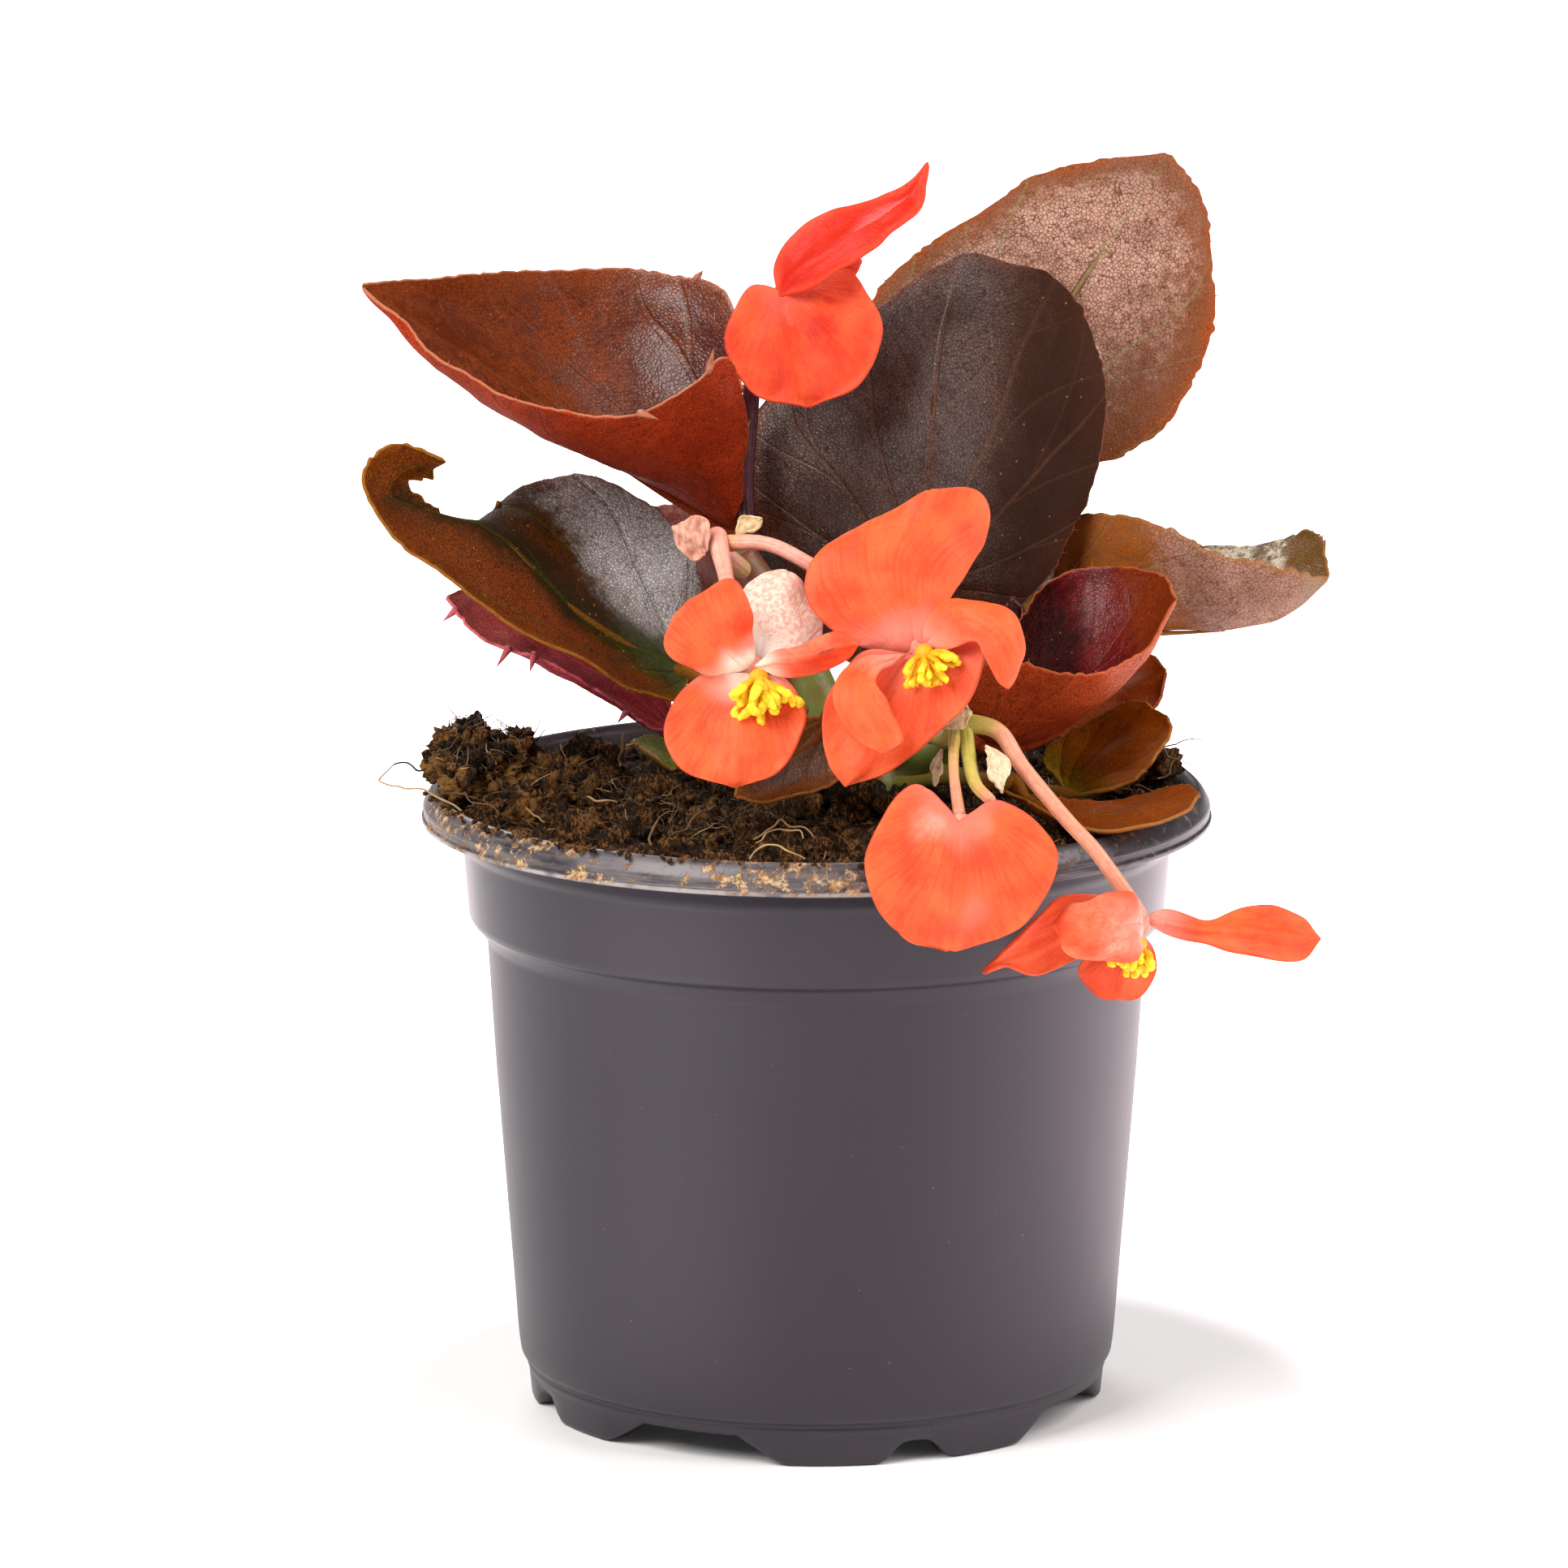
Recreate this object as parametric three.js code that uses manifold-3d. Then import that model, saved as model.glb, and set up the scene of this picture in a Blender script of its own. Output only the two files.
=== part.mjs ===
// Potted wax begonia with bronze leaves and orange-red flowers, in a round nursery pot.
// Millimetres, +Z up, -Y is the front. The pieces are placed around the pot's axis, with the
// feet at zero; the last step moves the origin to the middle of the whole plant's box.

import * as THREE from 'three';
import { mergeVertices } from 'three/addons/utils/BufferGeometryUtils.js';
import Module from 'manifold-3d';

// Pot
const POT_HEIGHT = 83.2;
const LIP_RADIUS = 52.5;
const COLLAR_TOP_RADIUS = 47;
const COLLAR_FOOT_RADIUS = 46.2;
const COLLAR_FOOT_Z = 66.4;
const BODY_TOP_RADIUS = 44.2;
const BODY_TOP_Z = 63;
const BODY_FOOT_RADIUS = 39.8;
const BODY_FOOT_Z = 8;
const CREASE_RADIUS = 38.9;
const CREASE_Z = 5.6;
const WALL = 1;
const PLATE_UNDERSIDE_Z = 4.4;
const FOOT_INNER_RADIUS = 34.5;
const FOOT_OUTER_RADIUS = 38.4;
const NOTCH_TOP_Z = 2.8;
const FEET_REPEATS = 4;

// Soil
const SOIL_LEVEL = 80.3;
const SOIL_FRONT_RISE = 1.6;
const SOIL_TOP_RADIUS = 48.4;
const SOIL_SPOKES = 30;
const LUMP_FLOOR_Z = 83.6;
const CLEARANCE = 0.3;

// Plant
const LEAF_THICKNESS = 0.7;
const PETAL_THICKNESS = 0.6;
const TOOTH = 0.7;
const STEM_RADIUS = 3;
const TUBE_SIDES = 6;
const LEAF_START = 0.05;
const PETAL_START = 0.02;
const BRACT_START = 0.15;
const BLADE_END = 0.97;

const wasm = await Module();
wasm.setup();
const plant = new THREE.Group();

function point(values) {
  return new THREE.Vector3(values[0], values[1], values[2]);
}

function solidOf(geometry) {
  const plain = geometry.clone();
  plain.deleteAttribute('normal');
  plain.deleteAttribute('uv');
  const merged = mergeVertices(plain, 1e-4);
  return new wasm.Manifold(new wasm.Mesh({
    numProp: 3,
    vertProperties: new Float32Array(merged.attributes.position.array),
    triVerts: new Uint32Array(merged.index.array),
  }));
}

function largestPiece(solid) {
  const pieces = solid.decompose();
  return pieces.reduce((best, piece) => (piece.volume() > best.volume() ? piece : best));
}

function geometryOf(solid) {
  const mesh = largestPiece(solid).getMesh();
  const geometry = new THREE.BufferGeometry();
  geometry.setAttribute('position', new THREE.BufferAttribute(mesh.vertProperties, 3));
  geometry.setIndex(new THREE.BufferAttribute(mesh.triVerts, 1));
  return geometry;
}

function addNode(name, solid, color, roughness) {
  const material = new THREE.MeshStandardMaterial({ color, roughness, metalness: 0 });
  const mesh = new THREE.Mesh(geometryOf(solid), material);
  mesh.name = name;
  plant.add(mesh);
}

function unionOf(solids) {
  return solids.reduce((whole, piece) => whole.add(piece));
}

// A closed solid from rings of points that all have the same count, with a cap at each end.
function solidOfRings(rings, lowPole, highPole) {
  const count = rings[0].length;
  const positions = [];
  const index = [];
  rings.flat().forEach((p) => positions.push(p[0], p[1], p[2]));
  positions.push(...lowPole, ...highPole);
  const low = rings.length * count;
  const high = low + 1;
  const last = (rings.length - 1) * count;
  for (let i = 0; i < count; i += 1) {
    const next = (i + 1) % count;
    index.push(low, next, i);
    index.push(high, last + i, last + next);
    for (let ring = 0; ring < rings.length - 1; ring += 1) {
      const a = ring * count;
      const b = a + count;
      index.push(a + i, a + next, b + next);
      index.push(a + i, b + next, b + i);
    }
  }
  const geometry = new THREE.BufferGeometry();
  geometry.setAttribute('position', new THREE.BufferAttribute(new Float32Array(positions), 3));
  geometry.setIndex(index);
  return solidOf(geometry);
}

function circlePoint(radius, degrees, z) {
  const angle = THREE.MathUtils.degToRad(degrees);
  return [radius * Math.sin(angle), -radius * Math.cos(angle), z];
}

// The thermoformed pot: plate, eight feet in four pairs, tapered body, collar and rolled lip.
// One quarter of the foot ring, as [degrees from the front, height of its lower edge].
const FOOT_EDGE = [
  [-46, 0], [-34.8, PLATE_UNDERSIDE_Z], [-26.3, PLATE_UNDERSIDE_Z], [-17.8, PLATE_UNDERSIDE_Z], [-6.6, 0],
  [3.5, 0], [13.5, 0], [17, NOTCH_TOP_Z], [23.5, NOTCH_TOP_Z], [27, 0], [35.5, 0],
];

function potSolid() {
  const spokes = [];
  for (let quarter = 0; quarter < FEET_REPEATS; quarter += 1) {
    FOOT_EDGE.forEach(([degrees, z]) => spokes.push([degrees + quarter * 90, z]));
  }
  const plate = spokes.map(([degrees]) => circlePoint(FOOT_INNER_RADIUS - 1.6, degrees, PLATE_UNDERSIDE_Z + 0.2));
  const footInner = spokes.map(([degrees, z]) => circlePoint(FOOT_INNER_RADIUS, degrees, z));
  const footOuter = spokes.map(([degrees, z]) => circlePoint(FOOT_OUTER_RADIUS, degrees, z));
  const profile = [
    [CREASE_RADIUS, CREASE_Z],
    [BODY_FOOT_RADIUS, BODY_FOOT_Z],
    [BODY_TOP_RADIUS, BODY_TOP_Z],
    [COLLAR_FOOT_RADIUS - 0.5, COLLAR_FOOT_Z - 1.5],
    [COLLAR_FOOT_RADIUS, COLLAR_FOOT_Z],
    [COLLAR_TOP_RADIUS, 73.8],
    [COLLAR_TOP_RADIUS + 1.2, 76],
    [LIP_RADIUS - 1, 78.7],
    [LIP_RADIUS, 80.3],
    [LIP_RADIUS - 0.1, 82.2],
    [LIP_RADIUS - 1.2, POT_HEIGHT],
    [LIP_RADIUS - 2.6, POT_HEIGHT - 0.7],
    [LIP_RADIUS - 3.7, 79],
    [COLLAR_TOP_RADIUS - WALL, 75],
    [COLLAR_FOOT_RADIUS - WALL, COLLAR_FOOT_Z],
    [BODY_TOP_RADIUS - WALL, BODY_TOP_Z - 0.5],
    [BODY_FOOT_RADIUS - WALL, BODY_FOOT_Z],
    [CREASE_RADIUS - 2, CREASE_Z],
  ];
  const wall = profile.map(([radius, z]) => spokes.map(([degrees]) => circlePoint(radius, degrees, z)));
  const rings = [plate, footInner, footOuter, ...wall];
  return solidOfRings(rings, [0, 0, PLATE_UNDERSIDE_Z], [0, 0, CREASE_Z]);
}

// The soil: a filled body with a crumbly top, mounds, and a clod that lies over the lip at the left.
// Each mound is [x, y, height, spread].
const SOIL_MOUNDS = [
  [-37, -6, 5, 13], [-22, -30, 1.6, 10], [46, 6, 4, 6], [-8, -40, 1, 9], [20, -40, 0.8, 8], [8, 0, 2, 14],
];
// Each lump of the clod is [x, y, z, radius].
const CLOD = [
  [-46.5, 1, 87, 5.2], [-49, -3, 86, 3.6], [-40.5, 1, 86.5, 4.6], [-42, -7, 85.5, 4.6],
];

function roughness(x, y) {
  return 0.5 * Math.sin(1.1 * x + 0.4 * y) * Math.cos(0.9 * y - 0.3 * x) + 0.35 * Math.sin(0.47 * x * y + 1.7 * x);
}

function soilHeight(x, y) {
  const front = SOIL_FRONT_RISE * THREE.MathUtils.smoothstep(-y, 0, SOIL_TOP_RADIUS);
  const mounds = SOIL_MOUNDS.map(([mx, my, height, spread]) => (
    height * Math.exp(-((x - mx) ** 2 + (y - my) ** 2) / spread ** 2)
  ));
  const rim = THREE.MathUtils.smoothstep(SOIL_TOP_RADIUS - Math.hypot(x, y), 0, 3);
  return SOIL_LEVEL + front + mounds.reduce((a, b) => a + b) * (0.4 + 0.6 * rim) + roughness(x, y);
}

function soilLump([x, y, z, radius]) {
  const geometry = mergeVertices(new THREE.IcosahedronGeometry(radius, 1).deleteAttribute('normal')
    .deleteAttribute('uv'), 1e-3);
  const position = geometry.attributes.position;
  for (let i = 0; i < position.count; i += 1) {
    const p = new THREE.Vector3().fromBufferAttribute(position, i);
    const swell = 1 + 0.16 * Math.sin(7 * p.x + 3 * p.z + x) * Math.cos(5 * p.y + z);
    const [px, py] = [x + p.x * swell, y + p.y * swell];
    const floor = Math.hypot(px, py) > COLLAR_TOP_RADIUS - 0.6 ? LUMP_FLOOR_Z : 0;
    position.setXYZ(i, px, py, Math.max(z + p.z * swell, floor));
  }
  return solidOf(geometry);
}

function soilSolid(stems) {
  const spokes = Array.from({ length: SOIL_SPOKES }, (_, i) => (i * 360) / SOIL_SPOKES);
  const wall = [
    [CREASE_RADIUS - 2.4, CREASE_Z + CLEARANCE],
    [BODY_FOOT_RADIUS - WALL - CLEARANCE - 0.1, BODY_FOOT_Z + CLEARANCE],
    [BODY_TOP_RADIUS - WALL - CLEARANCE - 0.1, BODY_TOP_Z - 0.3],
    [COLLAR_FOOT_RADIUS - WALL - CLEARANCE - 0.1, COLLAR_FOOT_Z + 0.2],
    [COLLAR_TOP_RADIUS - WALL - CLEARANCE - 0.1, 75.2],
    [LIP_RADIUS - 4.2, 79.2],
  ].map(([radius, z]) => spokes.map((degrees) => circlePoint(radius, degrees, z)));
  const top = [1, 0.92, 0.79, 0.64, 0.47, 0.27].map((share) => spokes.map((degrees) => {
    const [x, y] = circlePoint(SOIL_TOP_RADIUS * share, degrees, 0);
    return [x, y, soilHeight(x, y)];
  }));
  const fill = solidOfRings([...wall, ...top], [0, 0, CREASE_Z + CLEARANCE], [0, 0, soilHeight(0, 0)]);
  return unionOf([fill, ...CLOD.map(soilLump)]).subtract(stems);
}

// Stems, petioles and flower stalks are round tubes along smooth curves.
function tube(route, radius, steps = 8, sides = TUBE_SIDES) {
  const curve = new THREE.CatmullRomCurve3(route.map(point));
  const circle = new THREE.Shape(Array.from({ length: sides }, (_, i) => {
    const angle = (i * 2 * Math.PI) / sides;
    return new THREE.Vector2(radius * Math.cos(angle), radius * Math.sin(angle));
  }));
  return solidOf(new THREE.ExtrudeGeometry(circle, { steps, extrudePath: curve, bevelEnabled: false }));
}

function ball(centre, radius) {
  return solidOf(new THREE.IcosahedronGeometry(radius, 1).translate(centre[0], centre[1], centre[2]));
}

const STEM_ROUTES = [
  { route: [[8, 1, 60], [8, 1, 72], [7, 0.5, 84]], radius: 4 },
  { route: [[6, 0, 80], [2.5, 0, 89], [-1.5, 1, 98], [-6.5, 2, 107], [-10.5, 2, 113.5]], radius: STEM_RADIUS },
  { route: [[9, 1, 80], [10, 3, 90], [13, 5, 98], [16, 7, 105], [19, 12, 112]], radius: STEM_RADIUS },
  { route: [[9, 1, 80], [14, -0.5, 86.5], [20, -2, 91.5], [25, -2, 95]], radius: STEM_RADIUS - 0.4 },
];
const STEM_HEART = [7.5, 0.5, 82];

function stemSolid(extra) {
  const tubes = STEM_ROUTES.map(({ route, radius }) => tube(route, radius + extra, 5));
  return unionOf([...tubes, ball(STEM_HEART, 5 + extra)]);
}

// A smooth curve through evenly timed points; the blades below hang between three such curves.
function along(points, s) {
  const span = points.length - 1;
  const i = Math.min(Math.floor(s * span), span - 1);
  const w = s * span - i;
  const b = points[i];
  const c = points[i + 1];
  const a = i > 0 ? points[i - 1] : b.clone().multiplyScalar(2).sub(c);
  const d = i + 2 <= span ? points[i + 2] : c.clone().multiplyScalar(2).sub(b);
  const mix = (p, q, r, t) => 0.5 * (2 * q + (r - p) * w + (2 * p - 5 * q + 4 * r - t) * w * w
    + (3 * q - p - 3 * r + t) * w * w * w);
  return new THREE.Vector3(mix(a.x, b.x, c.x, d.x), mix(a.y, b.y, c.y, d.y), mix(a.z, b.z, c.z, d.z));
}

// A blade runs from its base to its tip: s is the share of that way, and t goes from -1 at the left
// margin through 0 at the rib to 1 at the right margin, seen on the upper face with the tip up.
function bladeLines(plan) {
  const line = (middle) => [plan.base, ...middle, plan.tip].map(point);
  return { left: line(plan.left), rib: line(plan.rib), right: line(plan.right) };
}

function bladePoint(plan, lines, s, t) {
  const rib = along(lines.rib, s);
  const ahead = along(lines.rib, Math.min(s + 0.02, 1)).sub(along(lines.rib, Math.max(s - 0.02, 0))).normalize();
  const margin = along(t < 0 ? lines.left : lines.right, s);
  const across = margin.clone().sub(rib);
  const up = t < 0 ? ahead.clone().cross(across) : across.clone().cross(ahead);
  up.normalize();
  const reach = Math.abs(t);
  const cup = t < 0 ? plan.cup[0] : plan.cup[1];
  const fade = Math.min(1, 5 * s) * Math.min(1, 2.2 * (1 - s));
  const lift = -fade * cup * 4 * reach * (1 - reach);
  return rib.add(across.multiplyScalar(reach)).add(up.multiplyScalar(lift));
}

// A thin closed blade, with the same triangles on both faces and a toothed margin.
function bladeSolid(plan, thickness, start, widen = 0) {
  const lines = bladeLines(plan);
  const rows = plan.rows;
  const fewColumns = rows > 4 ? [-1, -0.55, 0, 0.55, 1] : [-1, 0, 1];
  const columns = rows > 12 ? [-1, -0.75, -0.4, 0, 0.4, 0.75, 1] : fewColumns;
  const tooth = plan.tooth ?? 0;
  const faces = [[], []];
  for (let i = 0; i <= rows; i += 1) {
    const s = start + ((BLADE_END - start) * i) / rows;
    faces.forEach((face) => face.push([]));
    columns.forEach((t) => {
      const p = bladePoint(plan, lines, s, t);
      const ds = bladePoint(plan, lines, Math.min(s + 0.02, 1), t).sub(bladePoint(plan, lines, s - 0.02, t));
      const leftward = bladePoint(plan, lines, s, t > 0 || t === 0 ? t - 0.1 : t);
      const rightward = bladePoint(plan, lines, s, t < 0 || t === 0 ? t + 0.1 : t);
      const dt = rightward.sub(leftward);
      const up = dt.clone().cross(ds).normalize();
      if (Math.abs(t) === 1) {
        p.add(dt.clone().normalize().multiplyScalar(t * (widen + tooth * (i % 2 ? 0.5 : -0.5))));
      }
      faces[0][i].push(p.clone().addScaledVector(up, thickness / 2));
      faces[1][i].push(p.clone().addScaledVector(up, -thickness / 2));
    });
  }
  const width = columns.length;
  const grid = (rows + 1) * width;
  const positions = faces.flat(2).flatMap((p) => [p.x, p.y, p.z]);
  const index = [];
  const quad = (a, b, c, d) => index.push(a, b, c, a, c, d);
  for (let i = 0; i < rows; i += 1) {
    for (let j = 0; j < width - 1; j += 1) {
      const a = i * width + j;
      const [b, c, d] = [a + 1, a + 1 + width, a + width];
      if (j < (width - 1) / 2) {
        index.push(a, b, c, a, c, d);
        index.push(a + grid, c + grid, b + grid, a + grid, d + grid, c + grid);
      } else {
        index.push(a, b, d, b, c, d);
        index.push(a + grid, d + grid, b + grid, b + grid, d + grid, c + grid);
      }
    }
    const leftLow = i * width;
    const leftHigh = leftLow + width;
    quad(leftLow, leftHigh, leftHigh + grid, leftLow + grid);
    const rightLow = leftLow + width - 1;
    const rightHigh = rightLow + width;
    quad(rightLow, rightLow + grid, rightHigh + grid, rightHigh);
  }
  for (let j = 0; j < width - 1; j += 1) {
    quad(j, j + grid, j + 1 + grid, j + 1);
    const a = rows * width + j;
    quad(a, a + 1, a + 1 + grid, a + grid);
  }
  const geometry = new THREE.BufferGeometry();
  geometry.setAttribute('position', new THREE.BufferAttribute(new Float32Array(positions), 3));
  geometry.setIndex(index);
  return solidOf(geometry);
}

// Leaves. Each has its rib, left margin and right margin, and the route of its petiole to a stem.
const LEAVES = [
  {
    name: 'leaf_upper_left', color: 0x6e2a1c, rows: 13, cup: [4, 3], tooth: TOOTH,
    base: [-10, 8, 115.5],
    left: [[-10.5, -10, 141], [-21, -15, 136], [-33.5, -13, 135.5], [-47.5, -6, 140]],
    rib: [[-16, 8, 119], [-26, 8, 125], [-37.5, 7, 133.5], [-50, 4, 142.5]],
    right: [[-11.5, 14, 144.5], [-21, 22, 148.5], [-33.5, 22, 149], [-49, 12, 149.5]],
    tip: [-60, 0, 150],
    petiole: [[-9, 5, 112], [-7, 2, 108]],
  },
  {
    name: 'leaf_mid_left', color: 0x4a2c14, rows: 16, cup: [1, 1.5], tooth: TOOTH,
    base: [-16.5, -6, 99],
    left: [
      [-19, -14, 97], [-27.5, -21, 102.5], [-38, -25, 108.5], [-47, -27, 115], [-54.5, -25, 120.5],
      [-58.5, -22, 127.5], [-54.5, -20, 131.5],
    ],
    rib: [
      [-22, -9, 102.5], [-30.5, -11, 107.5], [-37.5, -12, 115], [-43, -14, 120], [-50, -16, 122.5],
      [-55.5, -18, 125], [-53, -17, 128],
    ],
    right: [
      [-14.5, 2, 104.5], [-17.5, 6, 115], [-27.5, 8, 122], [-38.5, 4, 123], [-45.5, -9, 119],
      [-52.5, -14, 125.5], [-51, -13, 126.5],
    ],
    tip: [-48, -16, 129],
    petiole: [[-8, -3, 96], [1, 0, 93]],
  },
  {
    name: 'leaf_low_left', color: 0x7d1f26, rows: 12, cup: [1, 1], tooth: TOOTH,
    base: [-18.5, 6, 89],
    left: [[-24.5, -2, 93], [-34, -4, 99], [-45.5, 1.5, 103.3]],
    rib: [[-25.5, 8, 94.5], [-33.5, 10, 98.5], [-42, 10, 103.5]],
    right: [[-22.5, 22, 100.5], [-31.5, 26, 106], [-41, 22, 108.5]],
    tip: [-49.5, 8, 107],
    petiole: [[-8, 4, 87.5], [3, 1, 87.5]],
  },
  {
    name: 'leaf_centre', color: 0x3f2f2e, rows: 13, cup: [-1, -1], tooth: TOOTH,
    base: [15, 3, 110],
    left: [[-2.5, 9, 109.5], [-10.5, 12, 122], [-4.5, 13, 136], [10, 11, 147]],
    rib: [[14.5, 0, 120], [15, 0, 130.5], [16, 4, 140.5], [18, 10, 147.5]],
    right: [[26, 6, 105.5], [35, 8, 117.5], [38.5, 8, 135], [32.5, 11, 148.5]],
    tip: [20, 14, 152.5],
    petiole: [[15.5, 4.5, 106], [15, 6, 102]],
  },
  {
    name: 'leaf_upper_right', color: 0x8a5f55, rows: 13, cup: [1, 1], tooth: TOOTH,
    base: [22.5, 14, 116.5],
    left: [[35.5, 22, 121.5], [47.5, 26, 127.5], [53.7, 30, 141], [53, 32, 155]],
    rib: [[26, 19, 129], [32, 22, 141.5], [38, 26, 150.5], [43.5, 30, 158]],
    right: [[11.5, 22, 124], [6.8, 26, 142.5], [17, 28, 153], [32, 32, 161]],
    tip: [47.5, 32, 163.5],
    petiole: [[20.5, 13, 114], [18, 10.5, 109.5]],
  },
  {
    name: 'leaf_right', color: 0x6b4a3a, rows: 13, cup: [1, 2], tooth: TOOTH,
    base: [31.5, 14, 106.5],
    left: [[38.5, 28, 113.5], [46.5, 31, 111], [54.5, 31, 110], [61.5, 28, 111.5], [67.5, 22, 113.5]],
    rib: [[37, 14, 103], [43.5, 14, 101.5], [50, 14, 101.5], [56.5, 13, 102], [63, 12, 104]],
    right: [[34, 13, 116.5], [40, 7, 118.3], [46.5, 3.5, 116.8], [53.5, 2, 114], [62.5, 5.5, 111.5]],
    tip: [68.5, 12, 109],
    petiole: [[25, 12, 104.5], [17, 8, 105.5]],
  },
  {
    name: 'leaf_cup_right', color: 0x7a2a20, rows: 12, cup: [3, 2], tooth: TOOTH,
    base: [21.5, -12, 92],
    left: [[24, -3, 99], [27, 0, 105.5], [30.5, 2, 110], [37, 1, 112.5], [44.5, -5, 112.5]],
    rib: [[24.5, -14, 91.5], [29, -14, 92], [33.5, -14, 94.5], [38, -14, 98.5], [42.5, -14, 104]],
    right: [[18.4, -21, 101.3], [22.8, -24.5, 104], [30, -27, 104], [37, -26, 103.5], [43, -21, 105.5]],
    tip: [47, -13, 110.5],
    petiole: [[19.5, -7, 90.5], [16, -1.5, 89]],
  },
  {
    name: 'leaf_behind_right', color: 0x5a3020, rows: 8, cup: [1, 1], tooth: TOOTH / 2,
    base: [30.5, 6, 88.5],
    left: [[33, 13, 95.5], [38, 13.5, 99.3], [44, 10, 99.3]],
    rib: [[35, 6, 92], [40, 6, 94.5], [44, 5, 96.5]],
    right: [[37, 0, 90.5], [41.5, -2, 92], [45.5, 0, 94]],
    tip: [46.5, 5, 97.5],
    petiole: [[25, 3, 88.5], [17, -1, 89]],
  },
  {
    name: 'leaf_low_right', color: 0x5c3a16, rows: 10, cup: [1, 1], tooth: TOOTH / 2,
    base: [33, -12, 84],
    left: [[29.5, -8, 88], [34.5, -6, 92], [42, -9, 96]],
    rib: [[35, -12, 86.5], [38, -13, 89.5], [42, -14, 92.5]],
    right: [[37.5, -19, 85.5], [42, -21, 89], [45, -19, 93]],
    tip: [46, -14, 95],
    petiole: [[26, -8, 84.5], [14, -1, 85.5]],
  },
  {
    name: 'leaf_rim', color: 0x6a3c16, rows: 10, cup: [1, 1], tooth: TOOTH / 2,
    base: [23.5, -24, 88],
    left: [[30, -22, 86], [37.5, -21, 85.3], [47, -20.5, 87.4]],
    rib: [[30, -27, 86], [37, -29, 85], [44.5, -28, 86]],
    right: [[30, -32, 85.3], [39, -36, 84.2], [47, -33, 86.2]],
    tip: [49.8, -26, 87],
    petiole: [[18, -15, 87], [13, -6, 84.5], [9, 1, 83]],
  },
  {
    name: 'leaf_small_front', color: 0x4a2414, rows: 8, cup: [1, 1], tooth: 0,
    base: [1.5, -20, 96],
    left: [[4, -22, 90], [0, -28, 88], [-6, -33, 87.5]],
    rib: [[-1.5, -24, 93.5], [-5, -28, 91.5], [-8, -31, 89.5]],
    right: [[-3, -20, 96], [-7.5, -23, 94.5], [-10.5, -29, 91]],
    tip: [-10.5, -33, 88],
    petiole: [[4, -12, 93], [4, -1, 88]],
  },
  {
    name: 'leaf_small_left', color: 0x5a5a2a, rows: 6, cup: [0.5, 0.5], tooth: 0,
    base: [-18, -6, 87],
    left: [[-19.5, -11, 87], [-22.5, -12, 89]],
    rib: [[-20, -7, 88], [-22.5, -8, 89.5]],
    right: [[-19.5, -2, 89], [-22, -4, 90.5]],
    tip: [-24.5, -8, 90.5],
    petiole: [[-8, -4, 86.5], [3, -1, 86]],
  },
  {
    name: 'leaf_behind_left', color: 0x8a4a48, rows: 8, cup: [1, 1], tooth: TOOTH / 2,
    base: [-11.5, 14, 105.5],
    left: [[-17, 20, 103.5], [-21, 27, 107.5], [-23.5, 31, 112]],
    rib: [[-14, 18, 108.5], [-16.5, 22, 111], [-19.5, 26, 113.5]],
    right: [[-10, 12, 112.5], [-12.5, 16, 116], [-17, 24, 116.5]],
    tip: [-23, 30, 115],
    petiole: [[-9, 9, 104.5], [-4.5, 1.5, 103.5]],
  },
  {
    name: 'leaf_young', color: 0x2a1214, rows: 6, cup: [0.5, 0.5], tooth: 0,
    base: [26.4, 4, 102],
    left: [[24.7, 3, 104], [24.7, 2.6, 106.5]],
    rib: [[26.4, 3, 104], [25.9, 2.6, 106]],
    right: [[28.2, 3, 104], [27.7, 2.6, 106.5]],
    tip: [25.9, 2.4, 108],
    petiole: [[25, 5, 98.5], [22.5, 2, 94], [20, -1.5, 91.5]],
  },
  {
    name: 'leaf_back_right', color: 0x4a2c22, rows: 10, cup: [1, 1], tooth: TOOTH,
    base: [22, 16, 97],
    left: [[20, 28, 105], [24, 38, 109], [33, 45, 108]],
    rib: [[28, 24, 102], [34, 31, 105], [40, 38, 105]],
    right: [[34, 17, 99], [43, 25, 102], [48, 34, 102]],
    tip: [46, 44, 103],
    petiole: [[17, 10, 95], [11.5, 4, 93.5]],
  },
  {
    name: 'leaf_back', color: 0x4a2c22, rows: 10, cup: [1, 1], tooth: TOOTH,
    base: [6, 14, 96],
    left: [[-7, 20, 106], [-12, 30, 113], [-8, 42, 118]],
    rib: [[6, 24, 105], [6, 33, 112], [6, 41, 117]],
    right: [[18, 22, 106], [22, 31, 113], [19, 42, 118]],
    tip: [6, 49, 121],
    petiole: [[8, 9, 93], [9.5, 3, 90]],
  },
  {
    name: 'leaf_back_left', color: 0x4a2c22, rows: 10, cup: [1, 1], tooth: TOOTH,
    base: [-3, 15, 92],
    left: [[-14, 20, 95], [-24, 32, 98], [-30, 40, 101]],
    rib: [[-9, 25, 97.5], [-15, 34, 101.5], [-22, 41, 103]],
    right: [[0, 31, 101], [-4, 41, 105], [-14, 47, 106]],
    tip: [-28, 48, 103],
    petiole: [[1, 8, 90], [5, 2, 87]],
  },
];

function leafSolid(plan, thickness, stems) {
  const blade = bladeSolid(plan, thickness, LEAF_START);
  const lines = bladeLines(plan);
  const start = along(lines.rib, 0.16);
  const radius = plan.rows > 10 ? 1.4 : 1;
  const route = [start.toArray(), plan.base, ...plan.petiole];
  return blade.add(tube(route, radius, 4, 5)).subtract(stems);
}

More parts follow.
